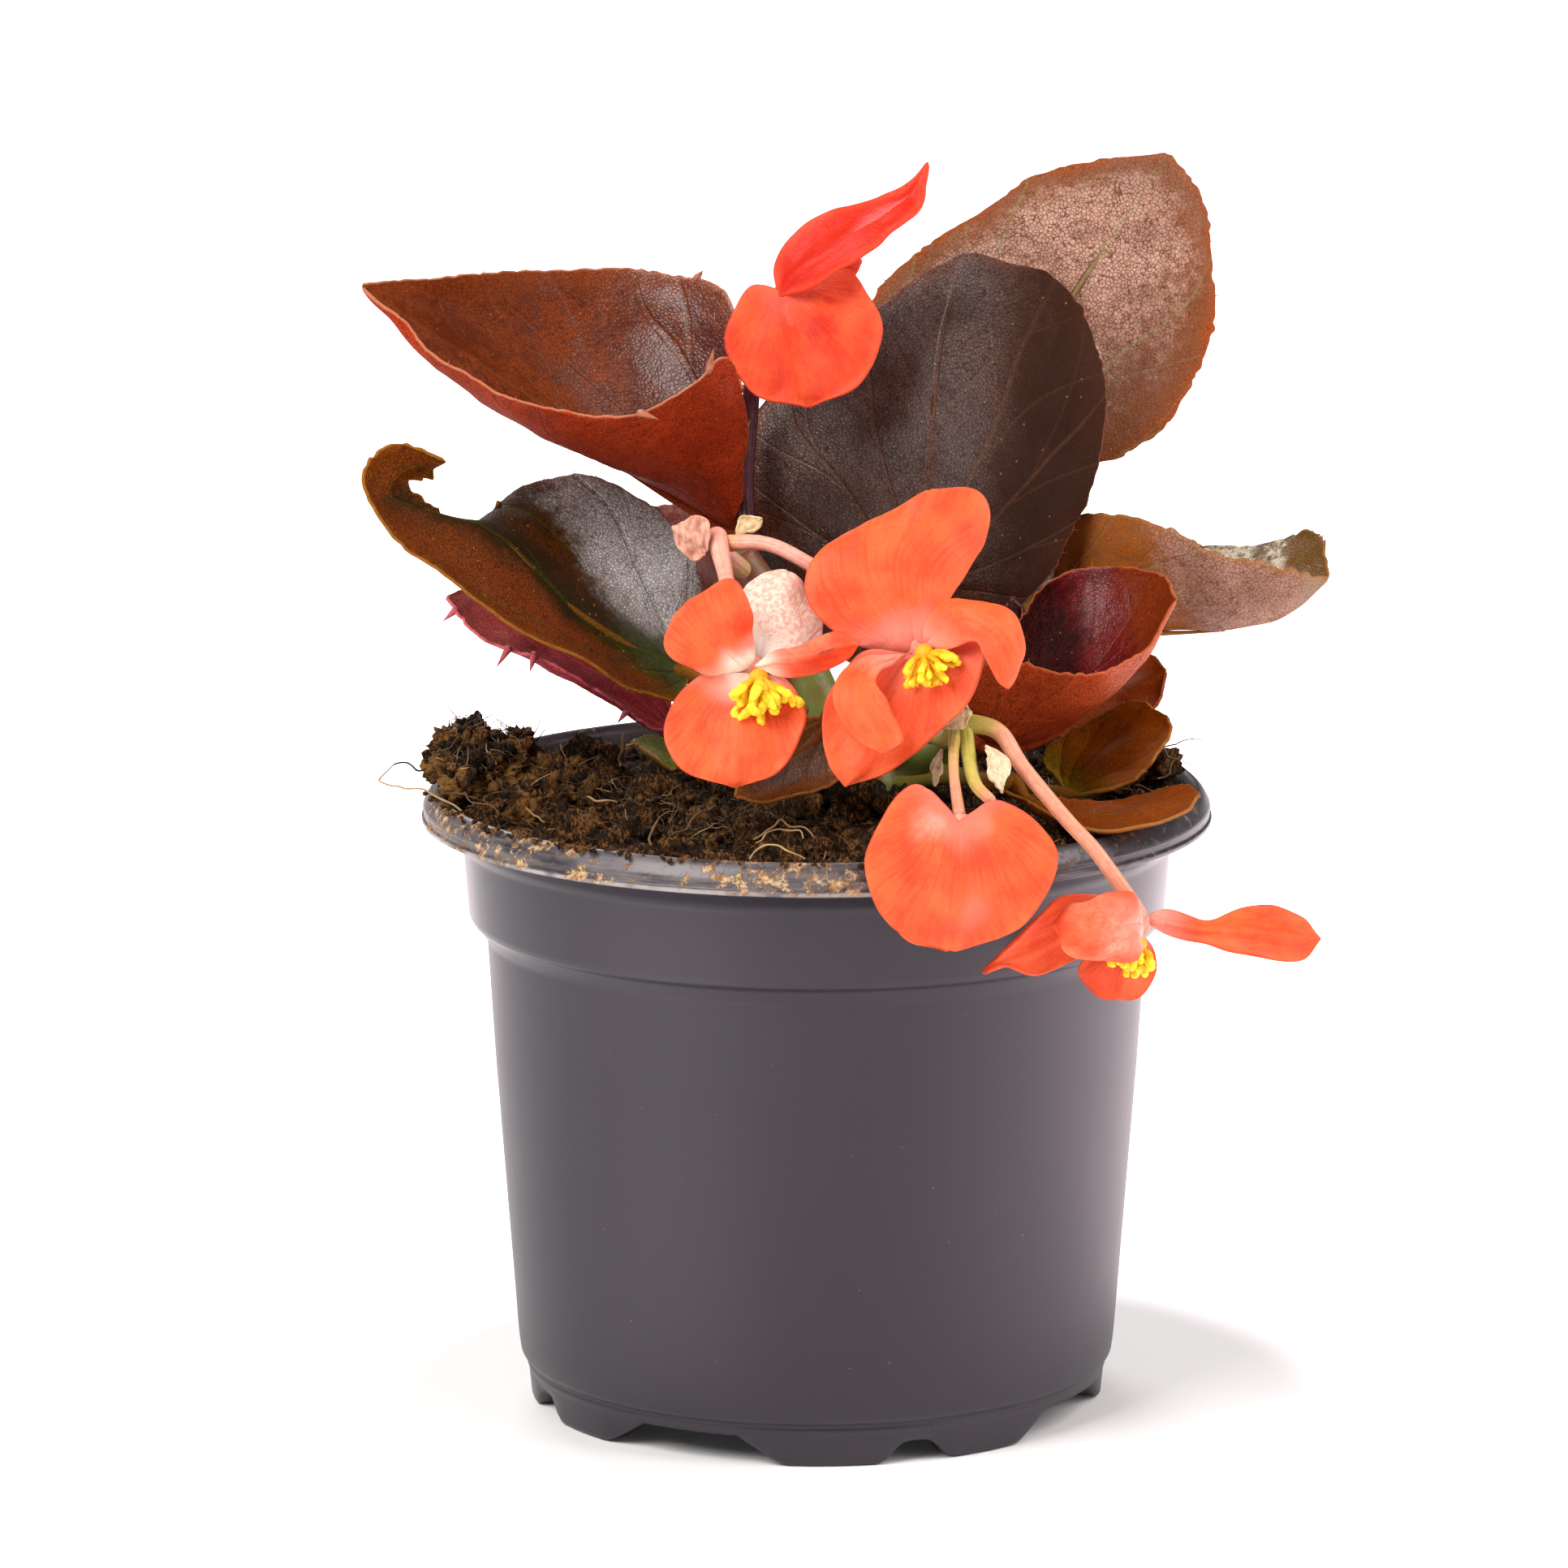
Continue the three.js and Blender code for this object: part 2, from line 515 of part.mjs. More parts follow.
// Flower stalks: thin tubes from a stem to the back of each flower.
const STALKS = [
  {
    name: 'stalk_top', color: 0x3c1420,
    routes: [[[-9, 2, 111], [-9.5, 5.5, 121], [-9, 6, 131], [-8, 4, 138], [-4.2, -0.3, 148.6]]], radii: [1.2],
  },
  {
    name: 'stalk_left', color: 0xe07a66,
    routes: [
      [[-9.5, 1, 111.5], [-12.5, -8, 116], [-13, -16, 119], [-12, -20, 115.5], [-11, -27, 112.5], [-9.5, -30.5, 108],
        [-8, -31.5, 104.5]],
      [[-13, -15, 118], [-6.5, -18, 118.5], [-0.5, -20.5, 116], [6.5, -20, 111.5], [11, -25, 108],
        [13.5, -30, 106.5]],
    ],
    radii: [1.2, 1.1],
  },
  {
    name: 'stalk_right', color: 0xe0906a,
    routes: [
      [[9, -1, 87.5], [12, -13, 92.5], [16.5, -28, 95], [18, -34, 97.5], [20, -35, 98], [23.5, -36, 97],
        [26.5, -39, 93], [32, -43, 87], [35.5, -45, 83.5], [39.5, -46, 78], [41, -45, 75]],
      [[18, -34, 97.5], [17.5, -40, 95.5], [17.5, -46, 93], [18, -54, 90]],
      [[19, -35, 97.5], [20, -44, 92.5], [22, -50, 91]],
    ],
    radii: [1.3, 0.9, 1.1],
  },
];

// Blooms: each is its petals and the small fleshy heart that they grow from.
const BLOOMS = [
  {
    name: 'bloom_top', color: 0xf04a36, heart: [-4, -1.5, 149.5], heartRadius: 1.8,
    petals: [
      {
        base: [-4, -3, 149.5], cup: [1.5, 1.5], rows: 6,
        left: [[4, -3, 152.5], [8.5, -6, 145], [5.5, -6, 137.5]],
        rib: [[-3.5, -7, 146], [-2.5, -8, 142], [-1.5, -7, 138]],
        right: [[-9, -3, 150], [-12, -5, 143.5], [-8.5, -6, 136.5]],
        tip: [-1, -6, 134.5],
      },
      {
        base: [-5, -3, 148.5], cup: [0.5, 0.5], rows: 7,
        left: [[-5.5, -2, 153], [-1, -1, 158.5], [7, 0, 161], [12, -1, 163.5]],
        rib: [[-3, -5, 152], [2, -6, 155.5], [8.5, -5, 159.5], [12.5, -3, 162.5]],
        right: [[-0.5, -7, 151], [5, -8, 154], [11, -7, 158.5], [14, -4, 161.5]],
        tip: [14.5, -2, 166.5],
      },
      {
        base: [-3.5, 0, 149], cup: [0.3, 0.3], rows: 4,
        left: [[-0.5, 3, 152], [3, 4, 153.5]],
        rib: [[-0.5, 3, 150], [3, 4, 151.5]],
        right: [[0.5, 3, 148.5], [4, 4, 150]],
        tip: [6, 5, 152.5],
      },
    ],
  },
  {
    name: 'bloom_left', color: 0xff5a34, heart: [-8.4, -33.5, 105.2], heartRadius: 2,
    petals: [
      {
        base: [-9, -34, 105], cup: [-0.6, -0.6], rows: 5,
        left: [[-14, -36, 105], [-18.5, -38, 107], [-19.5, -38, 110]],
        rib: [[-12, -36, 108], [-14, -37, 110.5], [-15.5, -37, 112.5]],
        right: [[-8, -35, 108], [-8.5, -36, 113], [-11, -36, 117]],
        tip: [-16.5, -37, 114.5],
      },
      {
        base: [-7.5, -33, 106], cup: [-0.5, -0.5], rows: 5,
        left: [[-8.7, -31, 109.5], [-9.3, -29, 114], [-7, -28, 116.3]],
        rib: [[-6.5, -32, 108.5], [-5, -31.3, 111.5], [-4, -30, 114.5]],
        right: [[-2.5, -33, 105.5], [0.7, -31, 108.5], [0, -29, 113]],
        tip: [-3.7, -28, 116.6],
      },
      {
        base: [-8, -35, 105.5], cup: [0.4, 0.4], rows: 5,
        left: [[-5.5, -37, 108], [-2, -39, 109], [2.5, -40, 111]],
        rib: [[-5, -38, 106.8], [-1, -40, 107.5], [3, -41, 109]],
        right: [[-4.5, -37, 104.6], [0, -38, 105.2], [4, -39, 107.2]],
        tip: [5.5, -40, 109.5],
      },
      {
        base: [-8.5, -34.5, 104.5], cup: [1, 1], rows: 6,
        left: [[-4, -37, 104], [-1.5, -40, 99.5], [-5, -42, 93]],
        rib: [[-9.5, -38, 101.5], [-10, -41, 97.5], [-10.5, -43, 94]],
        right: [[-15, -36, 104.5], [-19.5, -39, 99], [-17.5, -42, 93.5]],
        tip: [-10.5, -42, 91],
      },
    ],
  },
  {
    name: 'bloom_middle', color: 0xff5a34, heart: [12.8, -33, 107.2], heartRadius: 2,
    petals: [
      {
        base: [13, -33, 107], cup: [-0.8, -0.8], rows: 7,
        left: [[5.5, -34, 108], [-1, -33, 113], [-0.5, -30, 118.5], [5.5, -27, 122]],
        rib: [[12, -32, 111], [10.5, -31, 115], [10.5, -30, 119], [13, -28, 123.5]],
        right: [[15, -31, 110], [18, -28, 114], [22, -25, 120], [21, -25, 126]],
        tip: [14.5, -26, 127],
      },
      {
        base: [14, -33.5, 108], cup: [-0.4, -0.4], rows: 7,
        left: [[14.5, -34, 111], [18, -35, 114], [23.5, -37, 113.5], [26.5, -39, 108.5]],
        rib: [[15.5, -36, 110], [19, -38, 112.5], [22.5, -40, 111], [24.5, -41, 107.5]],
        right: [[17, -38, 108.5], [20, -40, 109.5], [21.5, -41, 107.5], [23, -41, 104.5]],
        tip: [24.5, -40, 103.5],
      },
      {
        base: [12.5, -34, 107], cup: [1, 1], rows: 7,
        left: [[20.6, -37, 109.3], [20.2, -40, 103.5], [14.5, -43, 97.5], [9, -44, 93.5]],
        rib: [[11, -39, 103.5], [9, -42, 100], [7, -44, 97], [5.5, -45, 94]],
        right: [[6, -36, 107.5], [2, -39, 103.5], [1, -42, 99.5], [1.5, -44, 94.5]],
        tip: [3.5, -44, 91.5],
      },
      {
        base: [11.5, -35, 107], cup: [0.3, 0.3], rows: 5,
        left: [[7.5, -43, 105.5], [9, -47, 103], [11, -48, 98.5]],
        rib: [[6.5, -42, 107], [5, -46, 103.5], [7.5, -48, 99]],
        right: [[5, -40, 107.5], [2, -44, 103.5], [4.5, -47, 98.5]],
        tip: [8.5, -48, 96.5],
      },
    ],
  },
  {
    name: 'bloom_heart', color: 0xff4a38, heart: [18, -54.5, 89], heartRadius: 1.5,
    petals: [
      {
        base: [18, -54.5, 89.5], cup: [-1, -1], rows: 7,
        left: [[12, -55, 94], [6, -56, 85], [9.5, -56, 76]],
        rib: [[18, -58, 86], [18, -59, 81.5], [17.5, -58, 76.5]],
        right: [[23.5, -55, 92], [30.5, -56, 85.5], [26, -56, 76]],
        tip: [17.5, -55, 72.5],
      },
      {
        base: [18, -54, 89.5], cup: [0.4, 0.4], rows: 6,
        left: [[13, -53, 93], [7, -53, 84.5], [10.5, -53, 74.5]],
        rib: [[18, -52, 84.5], [17.5, -52, 80], [17, -52, 75.5]],
        right: [[22.5, -53, 91], [29, -53, 85], [24.5, -53, 76]],
        tip: [16.5, -53, 72],
      },
    ],
  },
  {
    name: 'bloom_spoon', color: 0xff5034, heart: [41.2, -44.8, 73.8], heartRadius: 1.9,
    petals: [
      {
        base: [41.5, -44, 74.5], cup: [0.4, 0.4], rows: 8,
        left: [[45, -43, 75.5], [50, -43, 74], [56, -42, 75.5], [62, -43, 74.5]],
        rib: [[45, -45, 74], [50, -46, 73.5], [56.5, -47, 73.5], [62, -46, 72.5]],
        right: [[45, -45, 72.5], [50, -46, 71.5], [56.5, -48, 70], [62, -46, 69.5]],
        tip: [64.5, -45, 72],
      },
      {
        base: [41.5, -45.5, 74], cup: [-0.6, -0.6], rows: 6,
        left: [[41.5, -49, 71], [38, -52, 70.5], [33, -54, 72]],
        rib: [[39, -52, 75.5], [35.5, -55, 75.5], [32, -55, 75.5]],
        right: [[41, -48, 78], [37, -51, 79], [32, -53, 78]],
        tip: [30, -53, 75.5],
      },
      {
        base: [41, -44.5, 75], cup: [0.4, 0.4], rows: 7,
        left: [[38.5, -46, 71.5], [34, -47, 70], [29, -49, 68.5], [24, -51, 70]],
        rib: [[37.5, -46, 75], [32.5, -47, 73.5], [27.5, -49, 71], [23.5, -51, 70]],
        right: [[36.5, -46, 78], [30.5, -48, 77.5], [25.5, -50, 73.5], [22.5, -51, 70.5]],
        tip: [21, -52, 69],
      },
      {
        base: [41, -44, 72.5], cup: [0.6, 0.6], rows: 5,
        left: [[43, -43, 70.5], [43.5, -43, 67], [41.5, -43, 64]],
        rib: [[40, -45, 69.5], [39.5, -45, 67.5], [39, -44, 65]],
        right: [[35.5, -43, 70], [33.5, -43, 67], [36, -43, 64]],
        tip: [39, -43, 63.5],
      },
    ],
  },
];

function bloomSolid(bloom, extra) {
  const petals = bloom.petals.map((petal) => (
    bladeSolid(petal, PETAL_THICKNESS + extra, PETAL_START, extra / 2)
  ));
  return unionOf([ball(bloom.heart, bloom.heartRadius + extra / 2), ...petals]);
}

// Stamens: a tuft of short yellow clubs on a small mound in front of three of the flower hearts.
const TUFTS = [
  { name: 'stamens_left', centre: [-7.8, -37.5, 103.6], facing: [0.1, -0.85, -0.45], spread: 5 },
  { name: 'stamens_middle', centre: [14.2, -37, 106.4], facing: [0.3, -0.95, -0.15], spread: 3.6 },
  { name: 'stamens_spoon', centre: [41.4, -47.2, 71.8], facing: [-0.3, -0.6, -0.7], spread: 3 },
];
const TUFT_CLUBS = 9;
const GOLDEN_ANGLE = 2.4;

function tuftSolid(tuft, keepOut) {
  const facing = point(tuft.facing).normalize();
  const turn = new THREE.Quaternion().setFromUnitVectors(new THREE.Vector3(0, 0, 1), facing);
  const centre = point(tuft.centre);
  const clubs = Array.from({ length: TUFT_CLUBS }, (_, i) => {
    const share = Math.sqrt((i + 0.5) / TUFT_CLUBS);
    const angle = i * GOLDEN_ANGLE;
    const lean = new THREE.Vector3(Math.cos(angle) * share, Math.sin(angle) * share, 1.1).applyQuaternion(turn);
    const root = centre.clone().addScaledVector(lean, 0.2);
    const end = centre.clone().addScaledVector(lean, tuft.spread * 0.8);
    return tube([root.toArray(), root.clone().lerp(end, 0.5).toArray(), end.toArray()], 0.6, 1, 4);
  });
  return unionOf([ball(tuft.centre, 1.1), ...clubs]).subtract(keepOut);
}

// Bracts: small papery blades at the forks of the stalks.
const BRACTS = [
  {
    name: 'bract_withered', color: 0xd9a08c, rows: 4, cup: [0.5, 0.5],
    base: [-14.4, -19.2, 117.4],
    left: [[-15.6, -19.4, 116.6], [-17.4, -19.2, 118]],
    rib: [[-15.2, -19.6, 118.6], [-16.8, -19.6, 119.6]],
    right: [[-14, -19, 120.6], [-15.6, -18.8, 121.6]],
    tip: [-18.2, -18.8, 120.4],
  },
  {
    name: 'bract_left', color: 0xd8bd8a, rows: 3, cup: [0.3, 0.3],
    base: [-10.4, -14.8, 119],
    left: [[-10, -14, 121]],
    rib: [[-9.2, -14.6, 120]],
    right: [[-8.4, -15, 119.6]],
    tip: [-7.6, -14.6, 121],
  },
  {
    name: 'bract_right_top', color: 0xc09a7c, rows: 3, cup: [-0.4, -0.4],
    base: [20, -37, 99.8],
    left: [[18.6, -36.8, 101]],
    rib: [[18.2, -37.2, 99.6]],
    right: [[18.6, -37.4, 98.2]],
    tip: [16.4, -37, 98.2],
  },
  {
    name: 'bract_right_low', color: 0xe8dcc6, rows: 3, cup: [0.2, 0.2],
    base: [16, -38, 95.4],
    left: [[16.2, -39.4, 93.4]],
    rib: [[15.5, -39, 93.6]],
    right: [[14.8, -38.6, 93.6]],
    tip: [15.2, -39.4, 91.4],
  },
  {
    name: 'bract_right_mid', color: 0xe8dcc6, rows: 3, cup: [0.2, 0.2],
    base: [21.5, -40.8, 96.5],
    left: [[24.2, -42, 94.8]],
    rib: [[22.9, -43, 94]],
    right: [[21.9, -44.1, 93.6]],
    tip: [23.3, -44.1, 91.6],
  },
];

const fatStems = stemSolid(CLEARANCE);
const potBody = potSolid();
addNode('pot', potBody, 0x3a3b40, 0.4);
addNode('soil', soilSolid(fatStems), 0x2a1c14, 0.95);
addNode('stems', stemSolid(0), 0x6f7a3a, 0.5);
LEAVES.forEach((plan) => addNode(plan.name, leafSolid(plan, LEAF_THICKNESS, fatStems), plan.color, 0.5));

const fatBlooms = unionOf(BLOOMS.map((bloom) => bloomSolid(bloom, 2 * CLEARANCE)));
BLOOMS.forEach((bloom) => addNode(bloom.name, bloomSolid(bloom, 0), bloom.color, 0.55));
STALKS.forEach(({ name, color, routes, radii }) => {
  const tubes = routes.map((route, i) => tube(route, radii[i], 2 * route.length - 2, 5));
  addNode(name, unionOf(tubes).subtract(fatStems).subtract(fatBlooms), color, 0.4);
});
TUFTS.forEach((tuft) => addNode(tuft.name, tuftSolid(tuft, fatBlooms), 0xffdc20, 0.6));
BRACTS.forEach((plan) => addNode(plan.name, bladeSolid(plan, PETAL_THICKNESS, BRACT_START), plan.color, 0.8));

const middle = new THREE.Box3().setFromObject(plant).getCenter(new THREE.Vector3());
plant.children.forEach((mesh) => mesh.geometry.translate(-middle.x, -middle.y, 0));

export default plant;
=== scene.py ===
import math
import random

import bmesh
import bpy
import numpy as np
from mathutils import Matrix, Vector, noise


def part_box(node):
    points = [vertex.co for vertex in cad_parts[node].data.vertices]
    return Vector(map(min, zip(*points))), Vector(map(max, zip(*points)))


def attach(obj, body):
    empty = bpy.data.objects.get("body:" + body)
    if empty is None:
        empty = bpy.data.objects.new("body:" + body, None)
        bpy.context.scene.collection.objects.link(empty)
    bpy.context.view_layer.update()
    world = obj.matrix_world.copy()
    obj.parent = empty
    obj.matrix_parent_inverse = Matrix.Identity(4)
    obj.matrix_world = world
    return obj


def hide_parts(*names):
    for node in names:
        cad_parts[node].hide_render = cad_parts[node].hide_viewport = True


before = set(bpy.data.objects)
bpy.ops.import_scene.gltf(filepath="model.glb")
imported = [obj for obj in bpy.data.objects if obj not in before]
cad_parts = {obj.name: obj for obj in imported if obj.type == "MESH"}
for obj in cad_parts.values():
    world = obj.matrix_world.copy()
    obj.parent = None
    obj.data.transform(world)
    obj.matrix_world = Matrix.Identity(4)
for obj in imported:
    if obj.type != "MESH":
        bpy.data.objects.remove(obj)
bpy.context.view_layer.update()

# The studio: a white floor in a dim white room, with large soft lamps above at the left and the
# right and weaker ones low at the right and behind. The floor glows like a lit table; near the pot
# its glow is painted light for the pot to reflect, with a painted shadow under the pot. The camera
# looks slightly down on the pot from a metre in front.
FLOOR_HALF = 9.0
FLOOR_DROP = 0.00005
FLOOR_GLOW = 1.6
ROOM_LIGHT = 0.16
# Each lamp is its name, power, width, tint, and in metres its place and what it is aimed at.
LAMPS = [
    ("key_lamp", 21.0, 0.85, (1.0, 0.98, 0.95), (-0.72, -0.66, 0.98), (0, 0, 0.1)),
    ("right_lamp", 12.0, 0.85, (1.0, 0.95, 0.93), (0.92, -0.2, 0.95), (0, 0, 0.1)),
    ("low_right_lamp", 3.0, 0.8, (1.0, 0.95, 0.96), (1.0, -0.6, 0.35), (0, 0, 0.08)),
    ("back_lamp", 7.0, 0.6, (0.97, 0.98, 1.0), (-0.3, 1.1, 0.9), (0, 0, 0.08)),
]
# The camera's place is in metres from the pot's foot, and its tilt and turn are in degrees.
CAMERA_DISTANCE = 1.0578
CAMERA_HEIGHT = 0.2953
CAMERA_TILT = 11.344
CAMERA_TURN = 0.235
CAMERA_LENS = 186.34
pot_low, pot_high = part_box("pot")
AXIS = Vector(((pot_low.x + pot_high.x) / 2, (pot_low.y + pot_high.y) / 2, 0))


class Wire:
    """A value in a material's nodes. Reckoning with wires adds Math nodes."""

    def __init__(self, tree, socket=None):
        self.tree = tree
        self.socket = socket

    def node(self, kind, settings, sockets, output=0):
        made = self.tree.nodes.new(kind)
        for name, value in settings.items():
            setattr(made, name, value)
        for name, value in sockets.items():
            if isinstance(value, Wire):
                self.tree.links.new(value.socket, made.inputs[name])
            else:
                made.inputs[name].default_value = value
        return Wire(self.tree, made.outputs[output] if made.outputs else None)

    def math(self, operation, first, second=0.0):
        return self.node("ShaderNodeMath", {"operation": operation}, {0: first, 1: second})

    def __add__(self, other):
        return self.math("ADD", self, other)

    __radd__ = __add__

    def __sub__(self, other):
        return self.math("SUBTRACT", self, other)

    def __rsub__(self, other):
        return self.math("SUBTRACT", other, self)

    def __mul__(self, other):
        return self.math("MULTIPLY", self, other)

    __rmul__ = __mul__

    def __truediv__(self, other):
        return self.math("DIVIDE", self, other)

    def __gt__(self, other):
        return self.math("GREATER_THAN", self, other)

    def __abs__(self):
        return self.math("ABSOLUTE", self)


def paint(code):
    """The colour that a code such as a86b32 stands for."""
    parts = [int(code[i:i + 2], 16) / 255 for i in (0, 2, 4)]
    return tuple(c / 12.92 if c <= 0.04045 else ((c + 0.055) / 1.055) ** 2.4 for c in parts) + (1.0,)


def coat(mask, under, over):
    """The colour under, with the colour over laid on it where the mask is 1."""
    under = paint(under) if isinstance(under, str) else under
    over = paint(over) if isinstance(over, str) else over
    sockets = {0: mask, 6: under, 7: over}
    start = next(w for w in (mask, under, over) if isinstance(w, Wire))
    return start.node("ShaderNodeMix", {"data_type": "RGBA"}, sockets, 2)


def rise(value, low, high):
    """0 below low, 1 above high, and smooth in between."""
    sockets = {"Value": value, "From Min": low, "From Max": high}
    return value.node("ShaderNodeMapRange", {"interpolation_type": "SMOOTHSTEP"}, sockets)


def spot(start):
    """The place on the piece, in millimetres."""
    place = start.node("ShaderNodeTexCoord", {}, {}, "Object")
    return start.node("ShaderNodeVectorMath", {"operation": "SCALE"}, {0: place, "Scale": 1000.0})


def cloud(place, size, detail=3.0, roughness=0.5):
    """Soft random patches about as wide as the size."""
    sockets = {"Vector": place, "Scale": 1 / size, "Detail": detail, "Roughness": roughness}
    return place.node("ShaderNodeTexNoise", {}, sockets)


def part_of(place, axis):
    """One of the three numbers of a place."""
    return place.node("ShaderNodeSeparateXYZ", {}, {"Vector": place}, axis)


def length_of(across, ahead):
    """How long a flat way is."""
    squares = across * across + ahead * ahead
    return squares.math("POWER", squares, 0.5)


def finish(name):
    """A new empty material, and a wire to start its nodes from."""
    made = bpy.data.materials.new(name)
    made.use_nodes = True
    made.node_tree.nodes.clear()
    return made, Wire(made.node_tree)


def surface(start, sockets):
    """One plain shader with these sockets, as the material's surface."""
    shader = start.node("ShaderNodeBsdfPrincipled", {}, sockets)
    start.node("ShaderNodeOutputMaterial", {}, {"Surface": shader})


floor_mesh = bpy.data.meshes.new("floor")
floor_corners = [(x * FLOOR_HALF, y * FLOOR_HALF, -FLOOR_DROP) for x, y in ((-1, -1), (1, -1), (1, 1), (-1, 1))]
floor_mesh.from_pydata(floor_corners, [], [(0, 1, 2, 3)])
floor = bpy.data.objects.new("floor", floor_mesh)
bpy.context.collection.objects.link(floor)
floor_finish, start = finish("white_floor")
place = spot(start)
across_x, across_y = part_of(place, "X"), part_of(place, "Y")
reach = length_of(across_x, across_y)
# Painted light near the pot, for the pot to reflect: the floor glows brightest behind and at the
# right, and in front it is dim, a little brighter at the left. Under the pot it is dark, a painted shadow.
behind = rise(across_y + across_x * 0.9, -90.0, 230.0)
front_left = rise((across_x * -0.73 - across_y * 0.68) / reach, 0.86, 1.0)
painted_floor_glow_and_shadow = coat(behind, coat(front_left, "5c5a5e", "b0acb2"), "ffe8f0")
# The dark ring under the pot is a painted shadow.
painted_floor_glow_and_shadow = coat(rise(reach, 76.0, 58.0), painted_floor_glow_and_shadow, "161616")
surface(start, {
    "Base Color": coat(cloud(place, 900.0), "f6f5f5", "fbfafa"), "Roughness": 0.7, "Specular IOR Level": 0.1,
    "Emission Color": coat(rise(reach, 350.0, 1100.0), painted_floor_glow_and_shadow, "cccccc"), "Emission Strength": FLOOR_GLOW,
})
floor_mesh.materials.append(floor_finish)

room = bpy.data.worlds.new("white_room")
room.use_nodes = True
room.node_tree.nodes["Background"].inputs["Color"].default_value = (1.0, 0.99, 0.99, 1)
room.node_tree.nodes["Background"].inputs["Strength"].default_value = ROOM_LIGHT
bpy.context.scene.world = room
bpy.context.scene.view_settings.view_transform = "Standard"

for name, power, width, tint, place, aim in LAMPS:
    light = bpy.data.lights.new(name, "AREA")
    light.energy = power
    light.size = width
    light.color = tint
    holder = bpy.data.objects.new(name, light)
    holder.location = AXIS + Vector(place)
    holder.rotation_euler = (Vector(aim) - Vector(place)).to_track_quat("-Z", "Y").to_euler()
    bpy.context.collection.objects.link(holder)

camera_data = bpy.data.cameras.new("camera")
camera_data.sensor_width = 36.0
camera_data.lens = CAMERA_LENS
camera_data.clip_end = 40.0
camera = bpy.data.objects.new("camera", camera_data)
camera.location = AXIS + Vector((0, -CAMERA_DISTANCE, CAMERA_HEIGHT))
tilt, turn = math.radians(CAMERA_TILT), math.radians(CAMERA_TURN)
view_line = Vector((-math.sin(turn) * math.cos(tilt), math.cos(turn) * math.cos(tilt), -math.sin(tilt)))
camera.rotation_euler = view_line.to_track_quat("-Z", "Y").to_euler()
bpy.context.collection.objects.link(camera)
bpy.context.scene.camera = camera

# The pot: a round nursery pot drawn from black plastic sheet, satin outside. Its rolled lip
# and collar stiffen it, and a ring of low feet keeps the drainage plate off the table.
MM = 0.001
POT_SPOKES = 288
CORNER_STEPS = 4
# One quarter of the foot ring: degrees from the front, and the height of its lower edge. The
# edge's corners are rounded by taking the mean of heights this many degrees apart.
FOOT_EDGE = [
    (-46, 0), (-34.8, 4.4), (-17.8, 4.4), (-6.6, 0), (13.5, 0), (17, 2.8), (23.5, 2.8), (27, 0), (44, 0),
]
FOOT_START, QUARTER = 46, 90
FOOT_ROUNDING = (-1.4, -0.7, 0, 0.7, 1.4)
# The drainage plate's two faces, and the foot's section above its lower edge: radius and height.
PLATE_BELOW = [(1.5, 4.5), (32.9, 4.6)]
FOOT_SECTION = [(34.2, 0.5), (34.7, 0.1), (35.1, 0), (37.7, 0), (38.15, 0.15), (38.35, 0.55)]
PLATE_ABOVE = (1.5, 5.6)
# Corners of the wall's section from the foot up over the lip and down inside: radius, height
# and how far the corner is rounded.
POT_SECTION = [
    (38.4, 0, 0), (38.7, 4.2, 0.3), (39.0, 4.8, 0.3), (38.8, 5.5, 0.3), (39.7, 6.3, 0.4), (40.0, 8.4, 1.0),
    (42.9, 46.5, 2.0), (43.9, 62.9, 0.5), (45.2, 64.9, 0.35), (46.0, 65.6, 0.25), (46.35, 66.4, 0.25),
    (46.95, 74.2, 0.4), (47.05, 75.6, 0.4), (48.3, 77.0, 0.9), (51.2, 78.5, 0.5), (52.1, 78.75, 0.15),
    (52.5, 78.95, 0.12), (52.5, 79.45, 0.12), (52.2, 79.7, 0.12), (52.15, 80.2, 0.12), (52.35, 80.5, 0.12),
    (52.25, 81.0, 0.2), (51.4, 82.5, 0.7), (50.4, 83.2, 0.6), (49.4, 82.3, 0.6), (48.6, 79, 1.0), (46, 75, 1.0),
    (45.2, 66.4, 0.6), (43.2, 62.5, 0.6), (38.8, 8, 1.0), (36.9, 5.6, 0),
]


class Heap:
    """Points in millimetres around the pot's axis, faces, and marks on the points, for one piece."""

    def __init__(self):
        self.points = []
        self.faces = []
        self.marks = {}
        self.count = 0

    def add(self, points, faces, **marks):
        """Adds a mesh. A mark is one value for all its points, or one or three values for each."""
        points = np.asarray(points, float).reshape(-1, 3)
        for name in set(self.marks) | set(marks):
            value = marks.get(name, 0.0)
            if not np.isscalar(value):
                value = np.asarray(value, float).reshape(len(points), -1)
            if name not in self.marks:
                self.marks[name] = [np.zeros((self.count, np.size(value) // len(points) or 1))]
            width = self.marks[name][0].shape[1]
            self.marks[name].append(np.broadcast_to(value, (len(points), width)))
        self.points.append(points)
        self.faces.extend(tuple(i + self.count for i in face) for face in faces)
        self.count += len(points)

    def piece(self, name, slot, material, *replaced):
        """Makes the heap one piece of the scene, which takes the place of the nodes named."""
        mesh = bpy.data.meshes.new(name)
        place = np.vstack(self.points) * MM + np.array(AXIS)
        mesh.from_pydata(place.tolist(), [], self.faces)
        for mark, blocks in self.marks.items():
            values = np.vstack(blocks)
            if values.shape[1] == 3:
                mesh.attributes.new(mark, "FLOAT_VECTOR", "POINT").data.foreach_set("vector", values.ravel())
            else:
                mesh.attributes.new(mark, "FLOAT", "POINT").data.foreach_set("value", values.ravel())
        mesh.polygons.foreach_set("use_smooth", np.ones(len(mesh.polygons), bool))
        mesh.materials.append(material)
        mesh.update()
        made = bpy.data.objects.new(name, mesh)
        bpy.context.collection.objects.link(made)
        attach(made, "root")
        if replaced:
            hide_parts(*replaced)


